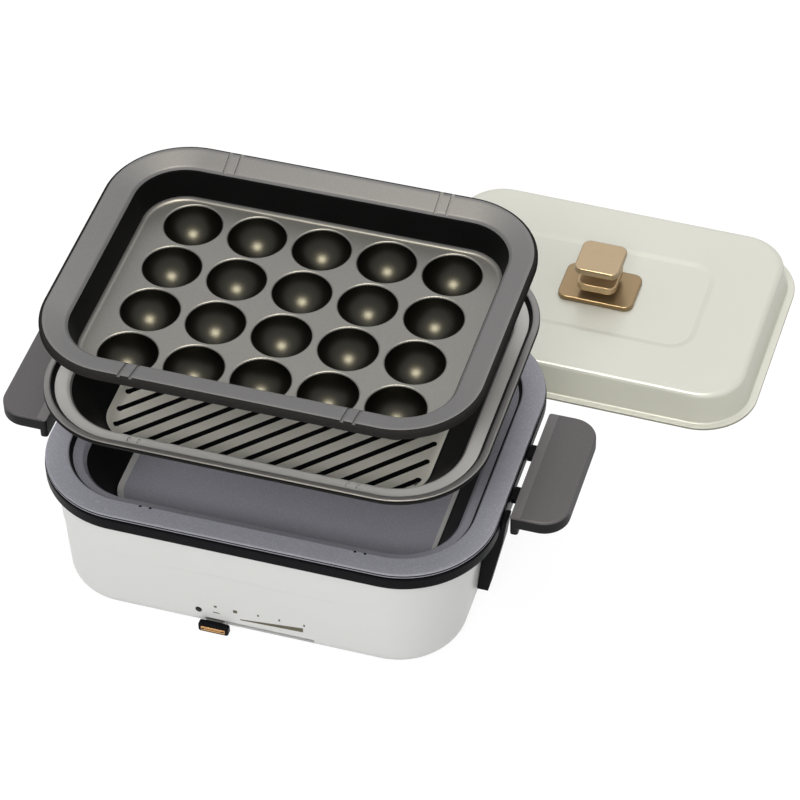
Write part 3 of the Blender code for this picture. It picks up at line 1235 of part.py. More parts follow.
def build_knob(lid, finishes):
    bore = circle(KNOB_SCREW_RADIUS + SCREW_PLAY, SMALL_STEPS)
    rim = (KNOB_BASE_LENGTH, KNOB_BASE_WIDTH, KNOB_BASE_CORNER)
    sections = [(rim_points(rim, 4), KNOB_BASE_BOTTOM), (rim_points(rim, 4), KNOB_BASE_TOP - KNOB_BASE_EDGE)]
    sections.append((rim_points(inset(rim, KNOB_BASE_EDGE), 4), KNOB_BASE_TOP))
    plate = add_piece("knob_base", loft(sections), lid, finishes["bronze"])
    boolean(plate, prisms([bore], KNOB_BASE_BOTTOM - OVERRUN, KNOB_BASE_TOP + OVERRUN), "cut_base_bore")
    neck = (NECK_LENGTH, NECK_WIDTH, NECK_WIDTH / 4)
    saddle = (SADDLE_LENGTH, SADDLE_WIDTH, SADDLE_CORNER)
    stalk = (STALK_LENGTH, STALK_WIDTH, STALK_WIDTH / 4)
    edge = SADDLE_HEIGHT / 4
    sections = [
        (neck, STEM_BOTTOM), (neck, SADDLE_BOTTOM), (inset(saddle, edge), SADDLE_BOTTOM), (saddle, SADDLE_BOTTOM + edge),
        (saddle, SADDLE_TOP), (stalk, SADDLE_TOP), (stalk, STALK_TOP),
    ]
    stem = add_piece("knob_stem", loft([(rim_points(r, 4), z) for r, z in sections]), lid, finishes["bronze"])
    reach = STEM_BOTTOM + KNOB_SCREW_GRIP
    boolean(stem, prisms([bore], STEM_BOTTOM - OVERRUN, reach + GAP), "cut_stem_bore")
    rim = (GRIP_LENGTH, GRIP_WIDTH, GRIP_CORNER)
    slab = softened(rim, GRIP_BOTTOM, GRIP_BOTTOM + GRIP_THICKNESS, GRIP_EDGE, 4)
    add_piece("knob_grip", loft(slab), lid, finishes["bronze"])
    washer_top = LID_FIELD_TOP - LID_SHEET - GAP
    washer_bottom = washer_top - WASHER_THICKNESS
    ring = [(circle(WASHER_RADIUS), washer_bottom), (circle(WASHER_RADIUS), washer_top)]
    ring += [(circle(KNOB_SCREW_RADIUS + SCREW_PLAY), washer_top), (circle(KNOB_SCREW_RADIUS + SCREW_PLAY), washer_bottom)]
    add_piece("knob_washer", loft(ring, True), lid, finishes["steel"])
    head_top = washer_bottom - GAP
    head = circle(KNOB_SCREW_HEAD_RADIUS, SMALL_STEPS)
    shank = circle(KNOB_SCREW_RADIUS, SMALL_STEPS)
    screw = [(head, head_top - KNOB_SCREW_HEAD_HEIGHT), (head, head_top), (shank, head_top), (shank, reach)]
    add_piece("knob_screw", loft(screw), lid, finishes["steel"])


# Whole set

def turned_reach(length, width, corner, turn):
    # Half the extent of a rounded rectangle turned about its centre
    half_x = length / 2 - corner
    half_y = width / 2 - corner
    across = half_x * math.cos(turn) + half_y * abs(math.sin(turn)) + corner
    along = half_y * math.cos(turn) + half_x * abs(math.sin(turn)) + corner
    return across, along


def base_place():
    # The origin is under the middle of the whole set, so the base stands off it
    across, along = turned_reach(LID_LENGTH, LID_WIDTH, LID_CORNER, LID_TURN)
    left = -HANDLE_OUTER_X
    right = max(HANDLE_OUTER_X, LID_X + across)
    return (-(left + right) / 2, -(BASE_FRONT_Y + LID_Y + along) / 2, 0)


def main():
    for item in list(bpy.data.objects):
        bpy.data.objects.remove(item, do_unlink=True)
    finishes = make_finishes()
    base = add_origin("base_origin", location=base_place())
    build_casing(base, finishes)
    build_ring(base, finishes)
    build_cover(base, finishes)
    build_tray(base, finishes)
    build_element(base, finishes)
    fuse_height = build_terminals(base, finishes)
    build_thermostat(base, finishes)
    build_sensor(base, finishes)
    build_lever(base, finishes)
    build_pinion(base, finishes)
    build_guide(base, finishes)
    build_lamp(base, finishes)
    pin_tail_x = build_inlet(base, finishes)
    build_leads(base, finishes, pin_tail_x, fuse_height)
    build_handle(base, finishes, "left", -1)
    build_handle(base, finishes, "right", 1)
    pan = build_pan(base, finishes)
    grill = build_grill(pan, finishes)
    build_tako(grill, finishes)
    lid = add_origin("lid_origin", base, (LID_X, LID_Y, 0), (0, 0, LID_TURN))
    build_lid(lid, finishes)
    build_knob(lid, finishes)


main()
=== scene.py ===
import json
import math
import bmesh
import bpy
from mathutils import Matrix, Vector


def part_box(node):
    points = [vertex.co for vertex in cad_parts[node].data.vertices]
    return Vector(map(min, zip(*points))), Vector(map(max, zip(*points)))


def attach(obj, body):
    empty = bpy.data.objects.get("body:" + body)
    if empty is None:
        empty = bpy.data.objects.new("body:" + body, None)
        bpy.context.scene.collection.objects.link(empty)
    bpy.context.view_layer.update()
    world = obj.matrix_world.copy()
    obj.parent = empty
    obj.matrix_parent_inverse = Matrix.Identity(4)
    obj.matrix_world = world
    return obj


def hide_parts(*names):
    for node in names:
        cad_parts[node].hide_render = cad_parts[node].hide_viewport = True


# Electric hot plate: base with handles, three plates held apart above it, and a lid on the table.
# Sizes in the dictionaries are in millimetres, measured from the middle of the base at table height,
# or from the middle of the lid for the lid and its knob.

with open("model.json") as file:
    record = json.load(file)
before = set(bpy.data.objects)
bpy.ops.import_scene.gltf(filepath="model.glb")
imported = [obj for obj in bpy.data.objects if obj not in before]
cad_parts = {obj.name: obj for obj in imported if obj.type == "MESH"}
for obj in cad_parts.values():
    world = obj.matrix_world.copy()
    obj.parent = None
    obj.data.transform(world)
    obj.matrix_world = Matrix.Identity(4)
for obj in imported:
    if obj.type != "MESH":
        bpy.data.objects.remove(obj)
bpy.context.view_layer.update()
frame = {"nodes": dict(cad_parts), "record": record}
low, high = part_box("casing")
baseMid = Vector(((low.x + high.x) / 2, (low.y + high.y) / 2, 0))
low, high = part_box("lid_shell")
lidMid = Vector(((low.x + high.x) / 2, (low.y + high.y) / 2, 0))
lidTurn = math.radians(-1)
origin = Vector((0, 0, 0))
mm = 0.001
# the smallest corner radii, the most of a side that a bend takes up, and the gap that is merged
leastCorner = 0.05
insetCorner = 0.3
bendShare = 0.48
mergeGap = 1e-4
# the nodes that have a finished piece
dressed = set()


# Meshes.

def roundedPoints(x0, x1, halfY, corner0, corner1, steps):
    # a rounded rectangle, right-back corner first, running anticlockwise; each end has its own corner radius
    points = []
    left, right = (x0, -1, corner0), (x1, 1, corner1)
    for quarter, (x, sx, radius) in enumerate((right, left, left, right)):
        sy = 1 if quarter < 2 else -1
        for step in range(steps + 1):
            angle = math.pi / 2 * (quarter + step / steps)
            points.append((x - sx * radius + radius * math.cos(angle),
                           sy * (halfY - radius) + radius * math.sin(angle)))
    return points


def arcPoints(halfX, halfY, radius, steps):
    radius = max(radius, leastCorner)
    return roundedPoints(-halfX, halfX, halfY, radius, radius, steps)


def ringPoints(radius, steps):
    turns = [math.tau * k / steps for k in range(steps)]
    return [(radius * math.cos(turn), radius * math.sin(turn)) for turn in turns]


def softPath(points, steps=5):
    # each point is (halfX, halfY, corner, z, soft); soft is how far its bend is rounded off
    result = []
    for k, point in enumerate(points):
        here = Vector(point[:4])
        soft = point[4] if len(point) > 4 else 0
        if soft <= 0 or k in (0, len(points) - 1):
            result.append(tuple(here))
            continue
        sides = []
        for other in (Vector(points[k - 1][:4]), Vector(points[k + 1][:4])):
            length = math.hypot(other[0] - here[0], other[3] - here[3])
            sides.append(here + (other - here) * min(soft / length, bendShare))
        for step in range(steps + 1):
            t = step / steps
            result.append(tuple(sides[0] * (1 - t) ** 2 + here * 2 * t * (1 - t) + sides[1] * t ** 2))
    return result


def skin(shape, loops, closed=False, capped=True):
    # joins neighbouring loops of places with faces; a loop of one place ends in a fan
    rings = [[shape.verts.new(place) for place in loop] for loop in loops]
    for lower, upper in list(zip(rings, rings[1:])) + ([(rings[-1], rings[0])] if closed else []):
        count = max(len(lower), len(upper))
        for k in range(count):
            n = (k + 1) % count
            if len(lower) == 1:
                shape.faces.new((lower[0], upper[n], upper[k]))
            elif len(upper) == 1:
                shape.faces.new((lower[k], lower[n], upper[0]))
            else:
                shape.faces.new((lower[k], lower[n], upper[n], upper[k]))
    if capped:
        shape.faces.new(rings[0])
        shape.faces.new(rings[-1])
    return shape


def outward(shape):
    bmesh.ops.recalc_face_normals(shape, faces=shape.faces)
    return shape


def loftMesh(sections, steps=20, closed=True):
    # sections run round the wall's profile; closed joins the last to the first, otherwise both are capped
    loops = []
    for *sizes, z in sections:
        loops.append([(x, y, z) for x, y in arcPoints(*sizes, steps)])
    shape = skin(bmesh.new(), loops, closed, not closed)
    bmesh.ops.remove_doubles(shape, verts=shape.verts, dist=mergeGap)
    return outward(shape)


def prismMesh(points, low, high):
    return outward(skin(bmesh.new(), [[(x, y, z) for x, y in points] for z in (low, high)]))


def turnedMesh(path, steps=48):
    # turns a path of (radius, height) about the upright axis
    loops = []
    for radius, z in path:
        loops.append([(x, y, z) for x, y in ringPoints(radius, steps)] if radius else [(0, 0, z)])
    return outward(skin(bmesh.new(), loops, capped=False))


def inset(rim, distance):
    return [rim[0] - distance, rim[1] - distance, max(rim[2] - distance, insetCorner)]


def addObject(name, data):
    made = bpy.data.objects.new(name, data)
    bpy.context.scene.collection.objects.link(made)
    return made


def makeObject(name, shape, move=baseMid, turn=0.0):
    # the place goes into the mesh, so the finished object sits at the origin
    shape.transform(Matrix.Translation(move) @ Matrix.Rotation(turn, 4, "Z") @ Matrix.Scale(mm, 4))
    mesh = bpy.data.meshes.new(name)
    shape.to_mesh(mesh)
    shape.free()
    return addObject(name, mesh)


def cutWith(made, shape, move=baseMid, operation="DIFFERENCE"):
    tool = makeObject(made.name + "Tool", shape, move)
    modifier = made.modifiers.new("cut", "BOOLEAN")
    modifier.operation = operation
    modifier.solver = "EXACT"
    modifier.object = tool
    flatten(made)
    bpy.data.objects.remove(tool)


def flatten(made):
    # swaps the live modifiers for the plain mesh they give
    bpy.context.view_layer.update()
    mesh = bpy.data.meshes.new_from_object(made.evaluated_get(bpy.context.evaluated_depsgraph_get()))
    made.modifiers.clear()
    old = made.data
    made.data = mesh
    bpy.data.meshes.remove(old)


def smoothOut(made, degrees):
    made.data.shade_smooth()
    made.data.set_sharp_from_angle(angle=math.radians(degrees))
    # the large faces decide the normals, so flat areas stay flat beside rounded edges
    modifier = made.modifiers.new("evenNormals", "WEIGHTED_NORMAL")
    modifier.weight = 100
    modifier.keep_sharp = True
    flatten(made)


def finishPiece(made, look, body, nodes, degrees=30):
    smoothOut(made, degrees)
    made.data.materials.clear()
    made.data.materials.append(materials[look])
    for face in made.data.polygons:
        face.material_index = 0
    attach(made, body)
    if nodes:
        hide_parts(*nodes)
        dressed.update(nodes)


def paintFaces(made, names, choose):
    # names are further looks; choose gives a face's look from its place in millimetres, or none
    for name in names:
        made.data.materials.append(materials[name])
    for face in made.data.polygons:
        name = choose((face.center - baseMid) / mm, face.normal.z)
        if name:
            face.material_index = 1 + names.index(name)


def paintBands(made, sizes):
    # each band is (look, lowest, highest, least tilt); the bands paint shade on walls, grooves and cups and
    # paint light on rib tops, fillets and the ledge; the outside is a dark coating, and the rim's outer edge
    # is painted shade
    halfX, halfY, corner = sizes["rim"]
    edge = sizes["edge"]
    facingDown = -0.02

    def choose(place, tilt):
        x, y, z = place
        beyondX, beyondY = abs(x) - halfX + corner, abs(y) - halfY + corner
        away = math.hypot(max(beyondX, 0), max(beyondY, 0)) + min(max(beyondX, beyondY), 0) - corner
        for name, lowest, highest, least in sizes["bands"]:
            if lowest < z < highest and tilt > least:
                return name
        # the underside is a dark coating; the rim's outer edge is painted shade
        if tilt < facingDown or (-away < edge["inset"] and z < edge["height"]):
            return "plateOutside"

    paintFaces(made, ["plateOutside"] + sorted({band[0] for band in sizes["bands"]}), choose)


# Nodes, for materials and for geometry.

def setInputs(tree, node, inputs):
    # a socket is linked, anything else becomes the input's own value
    for key, value in inputs.items():
        if isinstance(value, bpy.types.NodeSocket):
            tree.links.new(value, node.inputs[key])
        else:
            node.inputs[key].default_value = value


def addNode(tree, kind, inputs=None, **settings):
    node = tree.nodes.new(kind)
    for label, value in settings.items():
        setattr(node, label, value)
    setInputs(tree, node, inputs or {})
    return node


def calc(tree, operation, first, second=0.0):
    return addNode(tree, "ShaderNodeMath", {0: first, 1: second}, operation=operation).outputs[0]


def plus(tree, first, second):
    return calc(tree, "ADD", first, second)


def minus(tree, first, second):
    return calc(tree, "SUBTRACT", first, second)


def times(tree, first, second):
    return calc(tree, "MULTIPLY", first, second)


def triple(tree, x=0.0, y=0.0, z=0.0):
    return addNode(tree, "ShaderNodeCombineXYZ", {0: x, 1: y, 2: z}).outputs[0]


def mixColour(tree, factor, first, second):
    return addNode(tree, "ShaderNodeMix", {0: factor, 6: first, 7: second}, data_type="RGBA").outputs[2]


def noise(tree, where, scale, detail):
    inputs = {"Vector": where, "Scale": scale, "Detail": detail}
    return addNode(tree, "ShaderNodeTexNoise", inputs).outputs["Fac"]


def ramp(tree, value, first, last):
    # black up to the first place, white from the last
    node = addNode(tree, "ShaderNodeValToRGB", {0: value})
    for element, place, shade in zip(node.color_ramp.elements, (first, last), (0, 1)):
        element.position = place
        element.color = (shade, shade, shade, 1)
    return node.outputs[0]


def bumpNormal(tree, height, strength, distance):
    inputs = {"Height": height, "Strength": strength, "Distance": distance}
    return addNode(tree, "ShaderNodeBump", inputs).outputs["Normal"]


def newTree(kind, name, inputs, outputs):
    # gives the group, its input sockets by name, and its output node
    tree = bpy.data.node_groups.new(name, kind + "NodeTree")
    for way, sockets in (("INPUT", inputs), ("OUTPUT", outputs)):
        for label, socketKind, *value in sockets:
            socket = tree.interface.new_socket(label, in_out=way, socket_type="NodeSocket" + socketKind)
            if value:
                socket.default_value = value[0]
    return tree, tree.nodes.new("NodeGroupInput").outputs, tree.nodes.new("NodeGroupOutput")


def newMaterial(name):
    material = bpy.data.materials.new(name)
    material.use_nodes = True
    return material, material.node_tree, material.node_tree.nodes["Principled BSDF"]


# Materials.

grainLabels = {
    "drift": "Drift", "speckAmount": "Speck Amount", "speckScale": "Speck Scale", "grain": "Grain Scale",
    "rough": "Roughness", "spread": "Roughness Spread",
}
shaderLabels = {
    "metallic": "Metallic", "coat": "Coat Weight", "coatRough": "Coat Roughness",
    "specular": "Specular IOR Level",
}
grainSizes = {"driftScale": 14.0, "specksFrom": 0.56, "specksFull": 0.68, "bumpReach": 0.0001}
sleeve = {"turns": (35, -35), "threads": 900.0, "gap": (0.28, 0.25, 0.2, 1), "thread": (0.5, 0.46, 0.38, 1),
          "rough": 0.8, "bump": 0.5, "bumpReach": 0.0002}


def makeSurfaceGroup():
    # slow drift in shade, fine speckle, and a fine height for the bump
    inputs = [("Base Colour", "Color"), ("Speck Colour", "Color")]
    inputs += [(label, "Float") for label in grainLabels.values()]
    outputs = [("Colour", "Color"), ("Roughness", "Float"), ("Height", "Float")]
    group, get, sink = newTree("Shader", "surfaceGrain", inputs, outputs)
    where = group.nodes.new("ShaderNodeTexCoord").outputs["Object"]
    slow = noise(group, where, grainSizes["driftScale"], 2.0)
    drift = times(group, minus(group, slow, 0.5), get["Drift"])
    toned = addNode(group, "ShaderNodeVectorMath", {
        0: get["Base Colour"], "Scale": plus(group, drift, 1.0)}, operation="SCALE").outputs[0]
    specks = noise(group, where, get["Speck Scale"], 1.0)
    specks = ramp(group, specks, grainSizes["specksFrom"], grainSizes["specksFull"])
    mask = times(group, specks, get["Speck Amount"])
    grain = noise(group, where, get["Grain Scale"], 2.0)
    spread = times(group, minus(group, grain, 0.5), get["Roughness Spread"])
    setInputs(group, sink, {
        "Colour": mixColour(group, mask, toned, get["Speck Colour"]),
        "Roughness": plus(group, spread, get["Roughness"]), "Height": grain})
    return group


surfaceGrain = makeSurfaceGroup()


def grainMaterial(name, colour, specks, look):
    # a Principled surface whose colour, roughness and bump come from the grain group
    material, tree, shader = newMaterial(name)
    grain = addNode(tree, "ShaderNodeGroup", {
        "Base Colour": (*colour, 1), "Speck Colour": (*specks, 1),
        **{label: look[key] for key, label in grainLabels.items()}}, node_tree=surfaceGrain).outputs
    setInputs(tree, shader, {
        "Base Color": grain["Colour"], "Roughness": grain["Roughness"],
        "Normal": bumpNormal(tree, grain["Height"], look["bump"], grainSizes["bumpReach"]),
        **{label: look[key] for key, label in shaderLabels.items()}})
    return material


plainLook = {
    "drift": 0.1, "speckAmount": 0.3, "speckScale": 1500, "grain": 1800, "rough": 0.38, "spread": 0.1,
    "bump": 0.1, "metallic": 0.0, "coat": 0.0, "coatRough": 0.2, "specular": 0.5,
}
lookFamilies = (
    # what a family shares, then each look's colour, its specks' colour and what else it changes
    # enamels
    ({"speckScale": 700, "grain": 800, "spread": 0.06, "coat": 0.2, "coatRough": 0.3}, {
        "creamPaint": ((0.68, 0.68, 0.662), (0.75, 0.75, 0.735), {"drift": 0.03, "speckAmount": 0.1,
            "grain": 900, "bump": 0.08, "coat": 0.25}),
        "lidEnamel": ((0.675, 0.672, 0.592), (0.71, 0.71, 0.645), {"drift": 0.03, "speckAmount": 0.1,
            "rough": 0.32, "bump": 0.07, "coat": 0.35, "coatRough": 0.22}),
        # painted shade: the lid's skirt and the flange's outer edge are darker copies of the enamel
        "lidSkirt": ((0.61, 0.605, 0.51), (0.65, 0.65, 0.56), {"drift": 0.04, "speckAmount": 0.15,
            "rough": 0.36, "bump": 0.07, "coatRough": 0.25}),
        "lidEdge": ((0.2, 0.195, 0.14), (0.28, 0.27, 0.2), {"speckScale": 900, "grain": 1200,
            "rough": 0.4, "spread": 0.08}),
    }),
    # cooking surfaces; the rib tops, the grill's ledge and the floor fillets are painted light, and the cups'
    # insides are painted shade
    ({"spread": 0.08, "metallic": 0.45}, {
        "plateCoating": ((0.12, 0.118, 0.12), (0.2, 0.196, 0.198), {"rough": 0.46, "metallic": 0.2,
            "specular": 0.35}),
        "fieldCoating": ((0.138, 0.135, 0.127), (0.23, 0.225, 0.21), {"rough": 0.4}),
        "grillCoating": ((0.2, 0.195, 0.19), (0.3, 0.295, 0.28), {"speckAmount": 0.25}),
        # painted light: the grill's ledge is a lighter copy of its coating
        "grillLedge": ((0.66, 0.645, 0.61), (0.72, 0.7, 0.67), {"speckAmount": 0.25, "metallic": 0.15}),
        # painted light: the rib tops are a lighter copy of the grill's coating
        "ribTop": ((0.76, 0.73, 0.64), (0.8, 0.78, 0.7), {"drift": 0.12, "speckAmount": 0.4,
            "speckScale": 1300, "spread": 0.1, "bump": 0.12, "metallic": 0.4}),
        # painted highlight along the fillet at the edge of the grill's floor
        "grillGleam": ((0.72, 0.69, 0.6), (0.8, 0.77, 0.69), {"speckScale": 1300, "rough": 0.34,
            "metallic": 0.3}),
        "panCoating": ((0.3, 0.298, 0.335), (0.44, 0.44, 0.48), {"speckAmount": 0.5,
            "speckScale": 1100, "grain": 1500, "rough": 0.46, "spread": 0.12, "bump": 0.18,
            "metallic": 0.05, "specular": 0.22}),
        # painted highlight along the fillet at the edge of the pan's floor
        "panGleam": ((0.5, 0.49, 0.47), (0.6, 0.59, 0.57), {"drift": 0.08, "speckAmount": 0.4,
            "speckScale": 1100, "grain": 1500, "spread": 0.1, "bump": 0.14, "metallic": 0.12}),
        # painted shade: the cups' insides are a darker copy of the plate's coating
        "cupCoating": ((0.034, 0.033, 0.028), (0.06, 0.058, 0.05), {"speckAmount": 0.2, "rough": 0.345,
            "spread": 0.06, "bump": 0.06, "metallic": 1.0}),
    }),
    # painted shade for plate walls, plate edges and handle sides, painted light on the handle's bevel, and
    # the dark undersides and mouldings
    ({"speckScale": 1300, "grain": 1200, "rough": 0.5, "bump": 0.3}, {
        "wallShade": ((0.004, 0.004, 0.004), (0.012, 0.011, 0.011), {"grain": 1600, "rough": 0.45,
            "bump": 0.1, "specular": 0.05}),
        "plateOutside": ((0.022, 0.021, 0.02), (0.045, 0.043, 0.04), {"drift": 0.12, "grain": 1500,
            "bump": 0.15, "specular": 0}),
        "blackResin": ((0.003, 0.003, 0.004), (0.01, 0.01, 0.013), {"speckScale": 1200,
            "grain": 1400, "rough": 0.4, "bump": 0.12, "specular": 0.06}),
        "coverResin": ((0.02, 0.02, 0.021), (0.04, 0.04, 0.042), {"speckAmount": 0.35,
            "speckScale": 1100, "specular": 0.3}),
        "handleResin": ((0.066, 0.061, 0.066), (0.11, 0.102, 0.11), {"speckAmount": 0.4, "spread": 0.12,
            "specular": 0.4}),
        "handleBevel": ((0.115, 0.106, 0.11), (0.17, 0.16, 0.17), {"speckAmount": 0.4, "rough": 0.42,
            "bump": 0.25, "specular": 0.45}),
        "handleShade": ((0.006, 0.006, 0.007), (0.014, 0.013, 0.015), {"specular": 0.15}),
    }),
    # bronze and copper
    ({"drift": 0.2, "speckScale": 1600, "grain": 2200, "rough": 0.3, "spread": 0.12,
        "metallic": 0.6}, {
        "knobBronze": ((0.33, 0.25, 0.155), (0.42, 0.33, 0.22), {"drift": 0.16, "bump": 0.12,
            "metallic": 0.8}),
        "knobPlate": ((0.25, 0.175, 0.09), (0.31, 0.22, 0.12), {"speckAmount": 0.2, "spread": 0.08,
            "bump": 0.07}),
        "knobSaddle": ((0.5, 0.36, 0.2), (0.56, 0.41, 0.24), {"speckAmount": 0.2, "spread": 0.08,
            "bump": 0.07}),
        "leverCopper": ((0.6, 0.33, 0.14), (0.7, 0.42, 0.2), {"drift": 0.12, "rough": 0.28,
            "metallic": 0.85}),
    }),
    # inner pieces, lens and print
    ({"grain": 1500}, {
        "plainSteel": ((0.56, 0.56, 0.55), (0.4, 0.39, 0.37), {"drift": 0.12, "speckScale": 500,
            "grain": 1600, "rough": 0.33, "spread": 0.16, "bump": 0.14, "metallic": 1}),
        "plainBrass": ((0.66, 0.48, 0.2), (0.5, 0.34, 0.15), {"drift": 0.15, "speckAmount": 0.4,
            "speckScale": 900, "grain": 1800, "rough": 0.28, "spread": 0.12, "metallic": 1}),
        "heatedSheath": ((0.13, 0.12, 0.115), (0.24, 0.17, 0.12), {"drift": 0.4, "speckAmount": 0.5,
            "speckScale": 260, "rough": 0.48, "spread": 0.2, "bump": 0.25, "metallic": 0.8}),
        "footRubber": ((0.035, 0.035, 0.035), (0.07, 0.07, 0.07), {"drift": 0.15, "speckScale": 900,
            "grain": 900, "rough": 0.8, "bump": 0.4}),
        "paleCeramic": ((0.72, 0.68, 0.6), (0.55, 0.5, 0.42), {"drift": 0.08, "speckAmount": 0.4,
            "speckScale": 800, "grain": 900, "rough": 0.5, "bump": 0.3}),
        "innerMoulding": ((0.28, 0.265, 0.24), (0.36, 0.34, 0.3), {"drift": 0.06, "speckScale": 900,
            "grain": 1000, "rough": 0.58, "bump": 0.25}),
        "lampLens": ((0.004, 0.0015, 0.0015), (0.012, 0.003, 0.002), {"rough": 0.2, "spread": 0.06,
            "bump": 0.05, "specular": 0.3}),
        "scalePrint": ((0.085, 0.075, 0.04), (0.13, 0.12, 0.07), {"speckAmount": 0.4, "rough": 0.42,
            "spread": 0.08, "bump": 0.05}),
    }),
)

materials = {}
for shared, looks in lookFamilies:
    for name, (colour, specks, own) in looks.items():
        materials[name] = grainMaterial(name, colour, specks, {**plainLook, **shared, **own})


def wovenSleeve():
    # glass-fibre sleeving: two crossed sets of fine threads
    material, tree, shader = newMaterial("wovenSleeve")
    where = tree.nodes.new("ShaderNodeTexCoord").outputs["Object"]
    threads = []
    for turn in sleeve["turns"]:
        turned = addNode(tree, "ShaderNodeMapping", {"Vector": where, "Rotation": (math.radians(turn),) * 3})
        wave = addNode(tree, "ShaderNodeTexWave", {"Vector": turned.outputs[0], "Scale": sleeve["threads"]})
        threads.append(wave.outputs["Fac"])
    weave = calc(tree, "MAXIMUM", *threads)
    setInputs(tree, shader, {
        "Base Color": mixColour(tree, weave, sleeve["gap"], sleeve["thread"]), "Roughness": sleeve["rough"],
        "Normal": bumpNormal(tree, weave, sleeve["bump"], sleeve["bumpReach"])})
    return material


materials["wovenSleeve"] = wovenSleeve()
print("materials made")


# Geometry Nodes helpers.

def geo(tree, kind, inputs=None, **settings):
    return addNode(tree, "GeometryNode" + kind, inputs, **settings).outputs[0]


def inMetres(sizes):
    return {label: value * mm for label, value in sizes.items()}


def newGeometryTree(name, sizes):
    # takes the object's own mesh, with one named input for each size
    sizes = {**sizes, "Mid X": 0.0, "Mid Y": 0.0}
    kinds = {label: "Int" if isinstance(value, int) else "Float" for label, value in sizes.items()}
    inputs = [("Geometry", "Geometry"), *((label, kinds[label], value) for label, value in sizes.items())]
    return newTree("Geometry", name, inputs + [("Material", "Material")], [("Geometry", "Geometry")])


def endTree(tree, get, sink, tools, operation="DIFFERENCE", overlapping=False):
    # cuts or joins the tools, then colours the result; a union takes both shapes through the second input
    cut = addNode(tree, "GeometryNodeMeshBoolean", {"Self Intersection": overlapping},
                  operation=operation, solver="EXACT")
    tree.links.new(get["Geometry"], cut.inputs["Mesh 2" if operation == "UNION" else "Mesh 1"])
    tree.links.new(tools, cut.inputs["Mesh 2"])
    plain = geo(tree, "RealizeInstances", {"Geometry": cut.outputs[0]})
    coloured = geo(tree, "SetMaterial", {"Geometry": plain, "Material": get["Material"]})
    tree.links.new(coloured, sink.inputs[0])
    return tree


def runTree(made, tree, look, sizes):
    # every input is set by its socket's identifier before the object is first evaluated
    modifier = made.modifiers.new(tree.name, "NODES")
    modifier.node_group = tree
    values = {"Mid X": baseMid.x, "Mid Y": baseMid.y, "Material": materials[look], **sizes}
    for item in tree.interface.items_tree:
        if item.item_type == "SOCKET" and item.in_out == "INPUT" and item.name in values:
            modifier[item.identifier] = values[item.name]
    flatten(made)


# Base casing.

casingSizes = {
    "top": (149, 120.5, 57), "foot": (141, 121.5, 47), "topHeight": 80.7, "footHeight": 13, "bottom": 5.02,
    "creaseHeight": 54.7, "creaseDepth": 0.6, "creaseRun": 0.5, "creaseSoft": (0.4, 0.3), "fillet": 8,
    "wall": 2, "lip": 14, "lampHole": (-34.2, -121.5, 18), "lampRadius": 2.4, "lampRun": (-4, 6),
    "slot": (-29.8, 47.8, -125.5, -111.5, 7.3, 11.9), "window": (139, 151, -34, 18, 34, 60),
}


def casingRim(height):
    s = casingSizes
    share = (s["topHeight"] - height) / (s["topHeight"] - s["footHeight"])
    return [a + (b - a) * share for a, b in zip(s["top"], s["foot"])]


def buildCasing():
    s = casingSizes
    crease, bottom, top = s["creaseHeight"], s["bottom"], s["topHeight"]
    wall, fillet = s["wall"], s["fillet"]
    above = crease + s["creaseRun"]
    foot = inset(s["foot"], s["creaseDepth"])
    outer = [
        (*s["top"], top), (*casingRim(above), above, s["creaseSoft"][0]),
        (*inset(casingRim(crease), s["creaseDepth"]), crease, s["creaseSoft"][1]), (*foot, bottom, fillet),
        (*inset(s["foot"], s["lip"]), bottom)]
    inner = [
        (*inset(s["foot"], s["lip"]), bottom + wall), (*inset(foot, wall), bottom + wall, fillet - wall),
        (*inset(casingRim(crease), s["creaseDepth"] + wall), crease), (*inset(s["top"], wall), top)]
    casing = makeObject("baseCasing", loftMesh(softPath(outer, 8) + softPath(inner, 6), 28))
    for x0, x1, y0, y1, z0, z1 in (s["slot"], s["window"]):
        cutWith(casing, prismMesh([(x1, y1), (x0, y1), (x0, y0), (x1, y0)], z0, z1))
    hole = prismMesh(ringPoints(s["lampRadius"], 32), *s["lampRun"])
    hole.transform(Matrix.Translation(s["lampHole"]) @ Matrix.Rotation(-math.pi / 2, 4, "X"))
    cutWith(casing, hole)
    finishPiece(casing, "creamPaint", "base", ["casing"], 25)


buildCasing()
print("casing made")


# Guard ring.

ringSizes = {"rim": (158.5, 122, 64.5), "bottom": 81.0, "top": 90.2, "inner": (143.84, 116.4, 51.3),
             "legOuter": (145.64, 118.2, 53.1), "legBottom": 72.05, "edge": 1.6, "innerEdge": 0.5}


def buildRing():
    s = ringSizes
    rim, inner, leg, edge = s["rim"], s["inner"], s["legOuter"], s["edge"]
    sections = softPath([
        (*leg, s["bottom"]), (*rim, s["bottom"], edge), (*rim, s["top"], edge),
        (*inner, s["top"], s["innerEdge"]), (*inner, s["legBottom"]), (*leg, s["legBottom"])])
    ring = makeObject("guardRing", loftMesh(sections, 28))
    finishPiece(ring, "blackResin", "base", ["guard_ring"])


buildRing()
print("ring made")


# Plates.

def plateMesh(sizes):
    # path points are (inset from the rim, height, soft); below the throat the long walls may lean differently
    rim, floor, throat = sizes["rim"], sizes["floor"], sizes["throat"]
    reach = rim[0] - floor[0]
    lean = (rim[1] - floor[1] - throat) / (reach - throat)
    cornerLimit = 1.1
    rows = []
    for distance, height, soft in sizes["path"]:
        corner = rim[2] + (floor[2] - rim[2]) * min(distance / reach, cornerLimit)
        sideways = distance if distance < throat else throat + (distance - throat) * lean
        rows.append((rim[0] - distance, rim[1] - sideways, corner, height, soft))
    return loftMesh(softPath(rows, 6), 26, closed=False)


